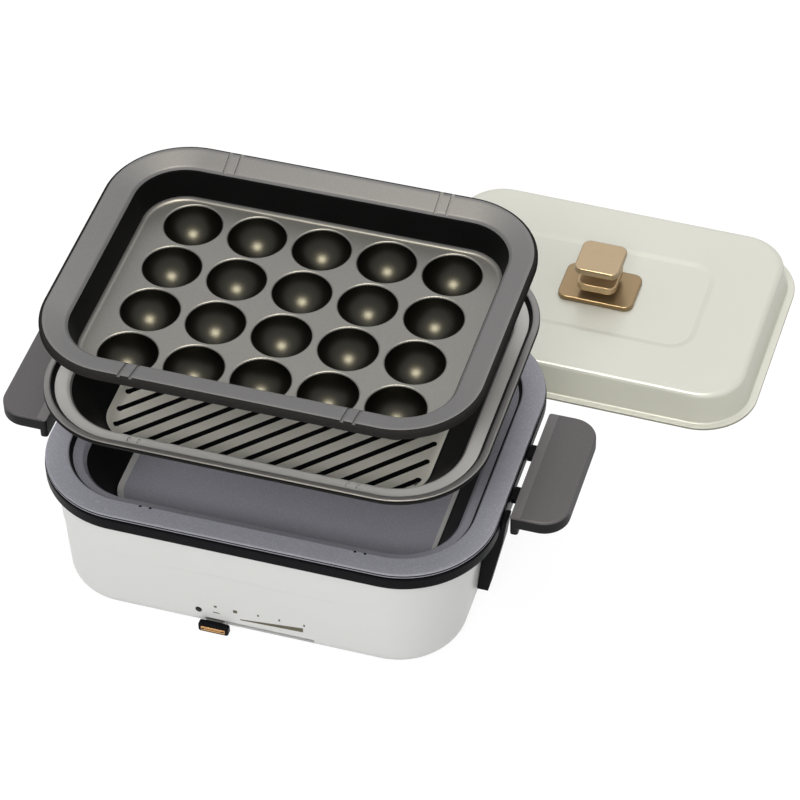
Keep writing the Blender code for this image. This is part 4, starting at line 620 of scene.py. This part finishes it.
def makeNotchTree():
    # pairs of narrow notches at two places on each long side, tilted with the face that they are cut into
    tree, get, sink = newGeometryTree("rimNotches", {
        "Reach X": 0.075, "Reach Y": 0.105, "Spacing": 0.008, "Width": 0.0022, "Length": 0.004, "Height": 0.2,
        "Depth": 0.0012, "Slope": 0.0})
    # eight in all: two in a pair, two pairs along a side, two sides
    line = geo(tree, "MeshLine", {"Count": 8})
    index = geo(tree, "InputIndex")
    pair = calc(tree, "MODULO", index, 2.0)
    side = calc(tree, "MODULO", calc(tree, "FLOOR", calc(tree, "DIVIDE", index, 2.0)), 2.0)
    row = calc(tree, "FLOOR", calc(tree, "DIVIDE", index, 4.0))

    def signed(value, size):
        return times(tree, minus(tree, times(tree, value, 2.0), 1.0), size)

    x = plus(tree, signed(side, get["Reach X"]), signed(pair, times(tree, get["Spacing"], 0.5)))
    y = plus(tree, signed(row, get["Reach Y"]), get["Mid Y"])
    place = triple(tree, plus(tree, x, get["Mid X"]), y, get["Height"])
    placed = geo(tree, "SetPosition", {"Geometry": line, "Position": place})
    size = triple(tree, get["Width"], get["Length"], times(tree, get["Depth"], 2.0))
    blocks = geo(tree, "InstanceOnPoints", {
        "Points": placed, "Instance": geo(tree, "MeshCube", {"Size": size}),
        "Rotation": triple(tree, signed(row, get["Slope"]))})
    return endTree(tree, get, sink, geo(tree, "RealizeInstances", {"Geometry": blocks}))


notchTree = makeNotchTree()


def finishPlate(made, look, body, sizes, degrees):
    notch = sizes["notch"]
    runTree(made, notchTree, look, {
        **inMetres(notch["cut"]), "Reach Y": (sizes["rim"][1] - notch["inset"]) * mm, "Slope": notch["slope"],
        "Mid X": baseMid.x + notch["shift"] * mm})
    finishPiece(made, look, body, [body], degrees)
    paintBands(made, sizes)
    print(body, "made")


panSizes = {
    "rim": (158, 121.5, 64), "floor": (113, 76.5, 24), "throat": 24.2,
    "notch": {"inset": 15.5, "slope": 0.0, "shift": 3,
              "cut": {"Height": 94.0, "Length": 4.0, "Depth": 1.2, "Spacing": 7}},
    "path": [(60, 45.0, 0), (43, 45.0, 4.5), (24.2, 82.6, 2.0), (15.4, 86.9, 1.0), (14.6, 90.5, 0.8),
             (0, 90.5, 1.1), (0, 94.0, 1.6), (15.5, 94.0, 1.0), (17.4, 90.0, 0.7), (24.2, 87.6, 1.4),
             (27.6, 82.0, 2.5), (45, 48.0, 7.5), (60, 48.0, 0)],
    "edge": {"inset": 0.4, "height": 91.6},
    # painted highlight on the floor's fillet, painted shade on the walls and on the step below the rim
    "bands": (("panGleam", 48.6, 50.6, 0.1), ("wallShade", 50.6, 83.6, 0.02),
              ("wallShade", 89.2, 93.3, 0.02)),
}

finishPlate(makeObject("deepPan", plateMesh(panSizes)), "panCoating", "deep_pan", panSizes, 28)

grillSizes = {
    "rim": (153, 119, 61), "floor": (111.5, 83.5, 24), "throat": 17.6,
    "notch": {"inset": 11.3, "slope": -0.15, "shift": 0,
              "cut": {"Height": 157.35, "Length": 4.0, "Depth": 1.2, "Spacing": 7}},
    "path": [(58, 121.05, 0), (40, 121.05, 4.0), (14.5, 150.0, 2.5), (4.2, 154.8, 1.5), (3.6, 157.7, 0.7),
             (0, 157.7, 1.0), (0, 161.5, 1.6), (4.6, 161.5, 1.2), (7.0, 158.0, 0.8), (15.6, 156.7, 1.6),
             (19.2, 153.5, 2.5), (41.5, 127.5, 7.0), (58, 127.5, 0)],
    "grooves": {"Field X": 108.5, "Field Y": 80.5, "Corner": 21, "Width": 4.8, "Depth": 3.5, "Pitch": 12},
    "edge": {"inset": 0.5, "height": 159.9},
    # painted shade in the grooves, on the walls and beside the ledge; painted light on the rib tops, the
    # floor's fillet and the ledge
    "bands": (("wallShade", 122, 127.45, -0.3), ("ribTop", 127.45, 127.9, 0.1),
              ("grillGleam", 128.1, 130, 0.1), ("wallShade", 130, 154.6, 0.02),
              ("grillLedge", 155.6, 158, 0.1), ("wallShade", 158, 161, 0.02)),
}


def grooveEnd(tree, shift, reachX, reachY, corner):
    # where the line y = x + shift leaves the round-cornered field, as an x
    x = calc(tree, "MINIMUM", reachX, minus(tree, reachY, shift))
    y = plus(tree, x, shift)
    middleX, middleY = minus(tree, reachX, corner), minus(tree, reachY, corner)
    pastX = calc(tree, "GREATER_THAN", calc(tree, "ABSOLUTE", x), middleX)
    pastY = calc(tree, "GREATER_THAN", calc(tree, "ABSOLUTE", y), middleY)
    signedX = times(tree, middleX, calc(tree, "SIGN", x))
    signedY = times(tree, middleY, calc(tree, "SIGN", y))
    # in a corner, the line meets a circle about (signedX, signedY)
    apart = plus(tree, minus(tree, signedX, signedY), shift)
    both = times(tree, times(tree, corner, corner), 2.0)
    spare = minus(tree, both, times(tree, apart, apart))
    root = calc(tree, "SQRT", calc(tree, "MAXIMUM", spare, 0.0))
    total = minus(tree, plus(tree, signedX, signedY), shift)
    rounded = times(tree, plus(tree, total, root), 0.5)
    return plus(tree, x, times(tree, times(tree, pastX, pastY), minus(tree, rounded, x)))


def makeGrooveTree():
    # diagonal grooves, each clipped to the field: a swept cutter with a round cutter at both ends
    tree, get, sink = newGeometryTree("diagonalGrooves", {
        "Field X": 0.1085, "Field Y": 0.0805, "Corner": 0.021, "Width": 0.0048, "Depth": 0.0035,
        "Pitch": 0.012, "Floor": 0.1275, "Raise": 0.004, "Count": 21})
    half = times(tree, get["Width"], 0.5)
    field = [minus(tree, get[label], half) for label in ("Field X", "Field Y", "Corner")]
    line = geo(tree, "MeshLine", {"Count": times(tree, get["Count"], 2.0)})
    index = geo(tree, "InputIndex")
    number = calc(tree, "FLOOR", calc(tree, "DIVIDE", index, 2.0))
    atEnd = calc(tree, "MODULO", index, 2.0)
    middle = times(tree, minus(tree, get["Count"], 1.0), 0.5)
    shift = times(tree, minus(tree, number, middle), times(tree, get["Pitch"], math.sqrt(2)))
    end = grooveEnd(tree, shift, *field)
    start = times(tree, grooveEnd(tree, times(tree, shift, -1.0), *field), -1.0)
    run = minus(tree, end, start)
    x = plus(tree, start, times(tree, run, atEnd))
    level = plus(tree, minus(tree, get["Floor"], get["Depth"]), half)
    place = triple(tree, plus(tree, x, get["Mid X"]), plus(tree, plus(tree, x, shift), get["Mid Y"]), level)
    placed = geo(tree, "SetPosition", {"Geometry": line, "Position": place})
    # only the edge between a groove's own two points stays, and grooves shorter than the pitch are left out
    links = geo(tree, "DeleteGeometry", {
        "Geometry": placed, "Selection": calc(tree, "GREATER_THAN", atEnd, 0.5)}, domain="EDGE")
    kept = geo(tree, "DeleteGeometry", {
        "Geometry": links, "Selection": calc(tree, "LESS_THAN", run, get["Pitch"])}, domain="POINT")
    # the upper half of the profile, and of the end's ball, is raised through the floor
    parts = addNode(tree, "ShaderNodeSeparateXYZ", {0: geo(tree, "InputPosition")}).outputs
    justBelow = -0.00001
    raised = [times(tree, calc(tree, "GREATER_THAN", parts[k], justBelow), get["Raise"]) for k in (1, 2)]
    profile = geo(tree, "CurvePrimitiveCircle", {"Resolution": 20, "Radius": half}, mode="RADIUS")
    shaped = geo(tree, "SetPosition", {"Geometry": profile, "Offset": triple(tree, y=raised[0])})
    swept = geo(tree, "CurveToMesh", {
        "Curve": geo(tree, "MeshToCurve", {"Mesh": kept}), "Profile Curve": shaped, "Fill Caps": True})
    ball = geo(tree, "MeshUVSphere", {"Segments": 24, "Rings": 12, "Radius": half})
    bullet = geo(tree, "SetPosition", {"Geometry": ball, "Offset": triple(tree, z=raised[1])})
    bullets = geo(tree, "InstanceOnPoints", {"Points": kept, "Instance": bullet})
    tools = addNode(tree, "GeometryNodeJoinGeometry")
    for part in (geo(tree, "RealizeInstances", {"Geometry": bullets}), swept):
        tree.links.new(part, tools.inputs[0])
    return endTree(tree, get, sink, tools.outputs[0], overlapping=True)


def buildGrill():
    grill = makeObject("grillPlate", plateMesh(grillSizes))
    runTree(grill, makeGrooveTree(), "grillCoating", inMetres(grillSizes["grooves"]))
    finishPlate(grill, "grillCoating", "grill_plate", grillSizes, 28)


buildGrill()

takoSizes = {
    "rim": (151.2, 114.9, 57.6), "floor": (125.5, 89.2, 28), "throat": 20.4,
    "notch": {"inset": 10.2, "slope": 0.274, "shift": 0,
              "cut": {"Height": 218.98, "Length": 18.6, "Depth": 1.2, "Spacing": 8}},
    "path": [(40, 189.5, 0), (24.8, 189.5, 1.5), (19.4, 213.0, 2.5), (5.4, 217.4, 1.4), (2.4, 214.5, 0),
             (0, 214.5, 0.5), (0, 219.6, 2.2), (3.0, 221.0, 2.6), (18.2, 216.7, 0.9), (20.4, 214.6, 1.0),
             (25.0, 192.5, 2.4), (40, 192.5, 0)],
    "cupRadius": 20.25, "cupDepth": 18.5, "cupWall": 1.8, "cupRings": 12, "outerLip": 2.0, "outerCap": (3, 1),
    "lipSoft": 1.3, "lipSink": 0.75, "lipDegrees": (20, 35, 50, 62, 74), "lipOut": 1.1, "lipUp": 0.78,
    "lipReach": 1.25, "mouth": (0.25, 4),
    "grid": {"Columns": 5, "Rows": 4}, "pitch": {"Pitch X": 46, "Pitch Y": 43.5}, "floorHeight": 192.5,
    "edge": {"inset": 2.7, "height": 222},
    # painted shade in the cups and on the walls
    "bands": (("cupCoating", 170, 191.6, 0.02), ("fieldCoating", 191.6, 194.6, 0.02),
              ("wallShade", 194.6, 215, 0.02)),
}


def cupPath(s, outside):
    # the bowl from its bottom up, in a frame whose z = 0 is the floor the cups sink into
    ball = (s["cupRadius"] ** 2 + s["cupDepth"] ** 2) / (2 * s["cupDepth"])
    middle = ball - s["cupDepth"]
    soft = s["lipSoft"]
    lip = -s["outerLip"] if outside else -soft * s["lipSink"]
    if outside:
        ball += s["cupWall"]
    first = math.asin((middle - lip) / ball)
    path = [(0, middle - ball)]
    for k in range(s["cupRings"]):
        angle = math.pi / 2 + (first - math.pi / 2) * (k + 1) / s["cupRings"]
        path.append((ball * math.cos(angle), middle - ball * math.sin(angle)))
    edge = path[-1][0]
    if outside:
        inward, up = s["outerCap"]
        return path + [(edge - inward, lip + up), (0, lip + up)]
    for angle in map(math.radians, s["lipDegrees"]):
        out = edge + soft * (1 - math.cos(angle)) * s["lipOut"]
        path.append((out, lip + soft * math.sin(angle) * s["lipUp"]))
    mouth = edge + soft * s["lipReach"]
    return path + [(mouth, s["mouth"][0]), (mouth, s["mouth"][1]), (0, s["mouth"][1])]


def addGrid(made, tool, operation, look, sizes, height):
    # a grid of one tool, such as a cup or a slot, is joined on or cut out
    tree, get, sink = newGeometryTree("grid" + tool.name[0].upper() + tool.name[1:], {
        "Columns": 5, "Rows": 4, "Pitch X": 0.046, "Pitch Y": 0.0435, "Height": 0.1925})
    spanX = times(tree, minus(tree, get["Columns"], 1.0), get["Pitch X"])
    spanY = times(tree, minus(tree, get["Rows"], 1.0), get["Pitch Y"])
    grid = geo(tree, "MeshGrid", {
        "Size X": spanX, "Size Y": spanY, "Vertices X": get["Columns"], "Vertices Y": get["Rows"]})
    middle = triple(tree, get["Mid X"], get["Mid Y"], get["Height"])
    moved = geo(tree, "Transform", {"Geometry": grid, "Translation": middle})
    shape = addNode(tree, "GeometryNodeObjectInfo", {"Object": tool}).outputs["Geometry"]
    placed = geo(tree, "InstanceOnPoints", {"Points": moved, "Instance": shape})
    endTree(tree, get, sink, geo(tree, "RealizeInstances", {"Geometry": placed}), operation)
    runTree(made, tree, look, {**sizes["grid"], **inMetres(sizes["pitch"]), "Height": height})
    bpy.data.objects.remove(tool)


def buildTako():
    s = takoSizes
    plate = makeObject("takoyakiPlate", plateMesh(s))
    for name, operation in (("outerCup", "UNION"), ("innerCup", "DIFFERENCE")):
        tool = makeObject(name, turnedMesh(cupPath(s, operation == "UNION")), origin)
        addGrid(plate, tool, operation, "plateCoating", s, s["floorHeight"] * mm)
    finishPlate(plate, "plateCoating", "takoyaki_plate", s, 16)


buildTako()


# Lid and knob.

lidSizes = {
    "rim": (134, 98.5, 42), "flange": 5.5, "flangeThickness": 1.4, "draft": 4.5, "height": 25, "fillet": 4.2,
    "sheet": 1.2, "field": (80, 47, 20), "slope": 4.5, "bend": 0.6, "innerBend": 1.2, "drop": 1.2,
    "under": 0.02, "flangeBend": (1.2, 0.5), "capInset": 30, "skirt": (2.2, 22.5, 0.5), "shadedEdgeTilt": 0.9,
}


def buildLid():
    s = lidSizes
    rim, field, top = s["rim"], s["field"], s["height"]
    drop, sheet, bend = s["drop"], s["sheet"], s["bend"]
    foot = inset(rim, s["flange"])
    head = inset(foot, s["draft"])
    well = inset(field, s["slope"])
    deep = inset(well, s["capInset"])
    flange, under = s["flangeThickness"], s["under"]
    outer = [
        (*deep, top - drop, 0), (*well, top - drop, bend), (*field, top, bend), (*head, top, s["fillet"]),
        (*foot, flange, s["flangeBend"][0]), (*rim, flange, s["flangeBend"][1]), (*rim, under, 0)]
    inner = [
        (*inset(foot, sheet), under, 0), (*inset(head, sheet), top - sheet, s["fillet"] - sheet),
        (*inset(field, sheet / 2), top - sheet, s["innerBend"]),
        (*inset(well, sheet / 2), top - drop - sheet, s["innerBend"]), (*deep, top - drop - sheet, 0)]
    sections = softPath(outer, 7) + softPath(inner, 5)
    lid = makeObject("lidShell", loftMesh(sections, 26, closed=False), lidMid, lidTurn)
    finishPiece(lid, "lidEnamel", "lid", ["lid_shell"], 24)

    def choose(place, tilt):
        # painted shade: the steep skirt is coloured a shade deeper than the top, and the flange's outer edge
        # deeper still
        lowest, highest, steepest = s["skirt"]
        if lowest < place.z < highest and tilt < steepest:
            return "lidSkirt"
        if place.z < flange and abs(tilt) < s["shadedEdgeTilt"]:
            return "lidEdge"

    paintFaces(lid, ["lidSkirt", "lidEdge"], choose)


knobParts = {
    # node, look, rounding steps, and the profile as (halfX, halfY, corner, height, soft)
    "knobBase": ("knob_base", "knobPlate", 5, (
        (22.5, 13, 1, 24.1, 0), (28.5, 19, 7, 24.1, 0.4), (28.5, 19, 7, 28.0, 1.2), (22.5, 13, 1, 28.0, 0))),
    "knobStem": ("knob_stem", "knobSaddle", 5, (
        (5, 4, 1, 28.3, 0), (7, 6, 3, 28.3, 0.3), (7, 6, 3, 33.3, 1.0), (14.5, 15.5, 6, 33.3, 1.8),
        (14.5, 15.5, 6, 40.1, 1.0), (6.5, 6, 3, 40.1, 1.2), (6.5, 6, 3, 49.6, 0.4), (4.5, 4, 1, 49.6, 0))),
    "knobGrip": ("knob_grip", "knobBronze", 6, (
        (10.75, 10.5, 0.3, 49.9, 0), (16.75, 16.5, 6, 49.9, 1.3), (16.75, 16.5, 6, 55.4, 1.3),
        (10.75, 10.5, 0.3, 55.25, 0))),
}

buildLid()
for name, (node, look, steps, profile) in knobParts.items():
    part = makeObject(name, loftMesh(softPath(profile, steps), 12, closed=False), lidMid, lidTurn)
    finishPiece(part, look, "lid", [node])
print("lid and knob made")


# Handles.

handleSizes = {
    "innerX": 164.5, "outerX": 201.5, "halfY": 51, "top": 95.5, "bottom": 85, "outerCorner": 18,
    "innerCorner": 2, "edge": 1.3, "skirt": 5.5, "skirtDrop": 5.5, "skirtOverlap": 5, "bevelWidth": 7,
    "bevelDrop": 0.8, "bevelReach": 60, "bevelPast": (1, 0.01, 2), "bevelLightBand": 0.9,
}


def buildHandle(name, side):
    s = handleSizes
    edge, top, bottom = s["edge"], s["top"], s["bottom"]
    innerX, halfY = s["innerX"], s["halfY"]
    turns = [math.pi / 2 * k / 6 for k in range(7)]
    levels = [(-edge * (1 - math.sin(turn)), bottom + edge * (1 - math.cos(turn))) for turn in turns]
    levels += [(-edge * (1 - math.cos(turn)), top - edge * (1 - math.sin(turn))) for turn in turns]
    loops = []
    for grow, z in levels:
        points = roundedPoints(innerX - grow, s["outerX"] + grow, halfY + grow,
                               s["innerCorner"] + grow, s["outerCorner"] + grow, 12)
        loops.append([(x, y, z) for x, y in points] if side > 0 else [(-x, y, z) for x, y in points[::-1]])
    handle = makeObject("sideHandle" + name, outward(skin(bmesh.new(), loops)))
    skirtMiddle = side * (innerX + s["skirt"] / 2)
    points = [(x + skirtMiddle, y) for x, y in arcPoints(s["skirt"] / 2, halfY, s["innerCorner"], 8)]
    cutWith(handle, prismMesh(points, bottom - s["skirtDrop"], bottom + s["skirtOverlap"]), operation="UNION")
    # the shallow bevelled strip along the inner edge
    inward, sliver, over = s["bevelPast"]
    near, far = side * (innerX - inward), side * (innerX + s["bevelWidth"])
    profile = [(near, top + over), (near, top - s["bevelDrop"]), (far, top + sliver), (far, top + over)]
    wedge = prismMesh(profile, -s["bevelReach"], s["bevelReach"])
    wedge.transform(Matrix.Rotation(math.pi / 2, 4, "X"))
    cutWith(handle, wedge)
    finishPiece(handle, "handleResin", "base", ["handle_" + name.lower()], 25)

    def choose(place, tilt):
        # painted light on the bevel strip, and painted shade on the sides and underside
        if place.z > top - s["bevelLightBand"] and abs(place.x) < innerX + s["bevelWidth"]:
            return "handleBevel"
        if place.z < top - edge:
            return "handleShade"

    paintFaces(handle, ["handleBevel", "handleShade"], choose)


buildHandle("Left", -1)
buildHandle("Right", 1)
print("handles made")


# Lever, lamp and heat scale.

leverMid = -22.6
leverParts = {
    # node, look, slot, half width, lowest, highest, front, back, front edge's rounding, corner
    "leverKnob": ("lever_knob", "blackResin", "black_resin", 10.7, 3.0, 10.4, -126.5, -122.1, 0.9, 1.6),
    "leverInlay": ("lever_inlay", "leverCopper", "lever_copper", 8.6, 5.1, 8.5, -127.2, -126.3, 0.35, 0.6),
}


def buildLever(name, node, look, slotName, halfX, lowest, highest, front, back, edge, corner):
    # a block whose front faces the user, rounded along its front edges
    halfZ = (highest - lowest) / 2
    depth = back - front
    capInset, backEdge = 2, 0.2
    sections = softPath([
        (halfX - capInset, halfZ - capInset, corner, 0, 0), (halfX, halfZ, corner, 0, backEdge),
        (halfX, halfZ, corner, depth, edge), (halfX - capInset, halfZ - capInset, corner, depth, 0)], 6)
    block = loftMesh(sections, 8, closed=False)
    place = Matrix.Translation((leverMid, back, (lowest + highest) / 2))
    block.transform(place @ Matrix.Rotation(math.pi / 2, 4, "X"))
    finishPiece(makeObject(name, block), look, "lever", [node])


lampSizes = {"x": -34.2, "z": 18, "radius": 2.1, "front": -121.5, "back": -115.0, "dome": 0.5}


def buildLamp():
    s = lampSizes
    domeBack = s["front"] + s["dome"]
    path = [(0, s["back"]), (s["radius"], s["back"]), (s["radius"], domeBack)]
    for k in range(1, 6):
        angle = math.pi / 2 * k / 6
        path.append((s["radius"] * math.cos(angle), domeBack - s["dome"] * math.sin(angle)))
    lens = turnedMesh(path + [(0, s["front"])], 32)
    lens.transform(Matrix.Translation((s["x"], 0, s["z"])) @ Matrix.Rotation(-math.pi / 2, 4, "X"))
    finishPiece(makeObject("lampLens", lens), "lampLens", "base", ["lamp_lens"])


printSizes = {
    "proud": 0.06, "sunk": 0.3,
    "marks": ((-22.9, -20.9, 23.5, 25.1), (-24, -19.2, 18, 18.7), (-9.2, -6.4, 22.2, 24.8),
              (8, 9.2, 23.6, 25.4), (23, 24.2, 23.6, 25.4), (40.6, 41.8, 23.6, 25.4)),
    "scale": ((-4.6, 16.2), (40.3, 17.7), (40.3, 21.6), (-4.6, 16.9)),
}


def buildPrint():
    # thin patches that follow the lean of the casing's front
    s = printSizes
    patches = [((x0, z0), (x1, z0), (x1, z1), (x0, z1)) for x0, x1, z0, z1 in s["marks"]]
    shape = bmesh.new()
    for patch in (*patches, s["scale"]):
        fronts = [(x, casingSizes["creaseDepth"] - casingRim(z)[1], z) for x, z in patch]
        skin(shape, [[(x, y + depth, z) for x, y, z in fronts] for depth in (-s["proud"], s["sunk"])])
    finishPiece(makeObject("heatScale", outward(shape)), "scalePrint", "base", [])


for name, sizes in leverParts.items():
    buildLever(name, *sizes)
buildLamp()
buildPrint()
print("lever, lamp and heat scale made")


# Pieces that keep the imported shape, merged and smoothed.

slotLooks = {
    "black_resin": "blackResin", "steel_sheet": "plainSteel", "element_sheath": "heatedSheath",
    "foot_rubber": "footRubber", "terminal_ceramic": "paleCeramic", "contact_brass": "plainBrass",
    "inner_moulding": "innerMoulding", "lead_sleeve": "wovenSleeve",
}
# a cross recess's span, slot width and depth
recessSizes = {"cover_screw": (3.6, 0.9, 1.1), "knob_screw": (5.2, 1.2, 1.6)}
bodyOf = {node: body for body, nodes in frame["record"]["behaviour"]["bodies"].items() for node in nodes}
ventSizes = {"slot": (28, 1.5, 1.425), "depth": 1, "grid": {"Columns": 2, "Rows": 9},
             "pitch": {"Pitch X": 120, "Pitch Y": 9}}
mergeNear = 2e-6


def cutRecess(made, node):
    # a cross recess in a screw head that faces down
    span, width, depth = next(sizes for name, sizes in recessSizes.items() if node.startswith(name))
    low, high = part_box(node)
    a, b = span / 2, width / 2
    half = [(a, -b), (a, b), (b, b), (b, a), (-b, a), (-b, b)]
    cross = half + [(-x, -y) for x, y in half]
    middle = Vector(((low.x + high.x) / 2, (low.y + high.y) / 2, low.z))
    cutWith(made, prismMesh(cross, -depth, depth), middle)


def cutVents(made, node):
    # two fields of shallow round-ended grooves moulded into the cover's underside
    v = ventSizes
    slot = prismMesh(arcPoints(*v["slot"], 6), -v["depth"], v["depth"])
    addGrid(made, makeObject("ventSlot", slot, origin), "DIFFERENCE", "coverResin", v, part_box(node)[0].z)


def copyNode(node):
    source = frame["nodes"][node]
    slotName = source.data.materials[0].name.split(".")[0]
    look = slotLooks[slotName]
    shape = bmesh.new()
    shape.from_mesh(source.data)
    shape.transform(source.matrix_world)
    bmesh.ops.remove_doubles(shape, verts=shape.verts, dist=mergeNear)
    outward(shape).transform(Matrix.Scale(1 / mm, 4))
    made = makeObject(node + "Copy", shape, origin)
    if node.startswith(tuple(recessSizes)):
        cutRecess(made, node)
    if node == "bottom_cover":
        cutVents(made, node)
        look = "coverResin"
    finishPiece(made, look, bodyOf[node], [node])


# the sensor's spring deforms with its joint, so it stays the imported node
for node in bodyOf:
    if node not in dressed and node != "sensor_spring":
        copyNode(node)
frame["nodes"]["sensor_spring"].data.materials.clear()
frame["nodes"]["sensor_spring"].data.materials.append(materials["plainSteel"])
print("small pieces made")


# Camera, light and floor.

cameraSizes = {
    "azimuth": 17.789, "elevation": 44.978, "roll": -1.378, "away": 2281.16, "right": 71.759, "up": -57.234,
    "middle": 192.5, "focal": 3440.3, "frame": 800,
}


def buildCamera():
    s = cameraSizes
    a, e, r = (math.radians(s[key]) for key in ("azimuth", "elevation", "roll"))
    back = Vector((math.sin(a) * math.cos(e), -math.cos(a) * math.cos(e), math.sin(e)))
    right = Vector((math.cos(a), math.sin(a), 0))
    up = back.cross(right)
    turnedRight = right * math.cos(r) + up * math.sin(r)
    turnedUp = up * math.cos(r) - right * math.sin(r)
    place = back * s["away"] + turnedRight * s["right"] + turnedUp * s["up"] + Vector((0, 0, s["middle"]))
    lens = bpy.data.cameras.new("photoCamera")
    lens.sensor_width = 36
    lens.lens = s["focal"] * lens.sensor_width / s["frame"]
    lens.clip_start = 0.05
    lens.clip_end = 50
    camera = addObject("photoCamera", lens)
    axes = Matrix((turnedRight, turnedUp, back)).transposed().to_4x4()
    camera.matrix_world = Matrix.Translation(baseMid + place * mm) @ axes
    bpy.context.scene.camera = camera


lampTable = (
    # name, place, size, watts, colour, lights surfaces, shows in gloss; each looks at the middle of the set
    ("overheadSoft", (0.0, -0.1, 1.75), (0.6, 0.6), 42.0, (1, 0.93, 0.76), False, True),
    ("backSoft", (-0.48, 1.48, 1.7), (1.6, 1.2), 4.5, (0.97, 0.97, 1), False, True),
    ("topFill", (0.1, 0.5, 2.0), (1.2, 1.2), 15.0, (1, 1, 0.98), True, False),
    ("leftKey", (-1.45, -1.75, 1.35), (1.2, 0.9), 17.0, (1, 1, 1), True, False),
    ("frontFill", (0.35, -1.85, 1.95), (1.0, 0.8), 26.0, (1, 1, 1), True, False),
    ("rightFill", (1.9, -1.3, 0.9), (0.8, 0.8), 4.0, (1, 1, 1), True, False),
)
lampTarget = (0, 0, 0.1)


def buildLights():
    for name, place, size, watts, colour, onSurfaces, inGloss in lampTable:
        light = bpy.data.lights.new(name, "AREA")
        light.shape = "RECTANGLE"
        light.size, light.size_y = size
        light.energy = watts
        light.color = colour
        lamp = addObject(name, light)
        lamp.visible_diffuse = onSurfaces
        lamp.visible_glossy = inGloss
        lamp.location = place
        lamp.rotation_euler = (Vector(place) - Vector(lampTarget)).to_track_quat("Z", "Y").to_euler()


def seenRays(tree):
    # 1 for rays that show the surroundings: straight, in gloss or through glass
    path = tree.nodes.new("ShaderNodeLightPath").outputs
    shown = calc(tree, "MAXIMUM", path["Is Camera Ray"], path["Is Glossy Ray"])
    return calc(tree, "MAXIMUM", shown, path["Is Transmission Ray"])


surroundings = {
    # the world's strength where it only lights, and the floor's grey where it lights and where it is seen
    "ambient": 0.4, "floorBounce": 0.55, "floorSeen": 0.16, "floorGlow": 0.9, "floorReach": 30,
}


def buildSurroundings():
    s = surroundings
    world = bpy.data.worlds.new("paleRoom")
    bpy.context.scene.world = world
    world.use_nodes = True
    tree = world.node_tree
    # plain white where it is seen, softer where it only lights the object
    strength = plus(tree, times(tree, seenRays(tree), 1 - s["ambient"]), s["ambient"])
    setInputs(tree, tree.nodes["Background"], {"Strength": strength, "Color": (1, 1, 1, 1)})
    shape = bmesh.new()
    bmesh.ops.create_grid(shape, x_segments=1, y_segments=1, size=s["floorReach"] / mm)
    paleFloor = makeObject("paleFloor", shape, origin)
    # the floor throws light back like white paper, and is seen as white with a faint shadow
    material, tree, shader = newMaterial("paleFloor")
    seen = seenRays(tree)
    bounce, faint = ((s[key],) * 3 + (1,) for key in ("floorBounce", "floorSeen"))
    setInputs(tree, shader, {
        "Base Color": mixColour(tree, seen, bounce, faint), "Emission Color": (1, 1, 1, 1),
        "Emission Strength": times(tree, seen, s["floorGlow"]), "Roughness": 0.9, "Specular IOR Level": 0.0})
    paleFloor.data.materials.append(material)
    bpy.context.scene.view_settings.view_transform = "Standard"


buildCamera()
buildLights()
buildSurroundings()
print("camera and light made")
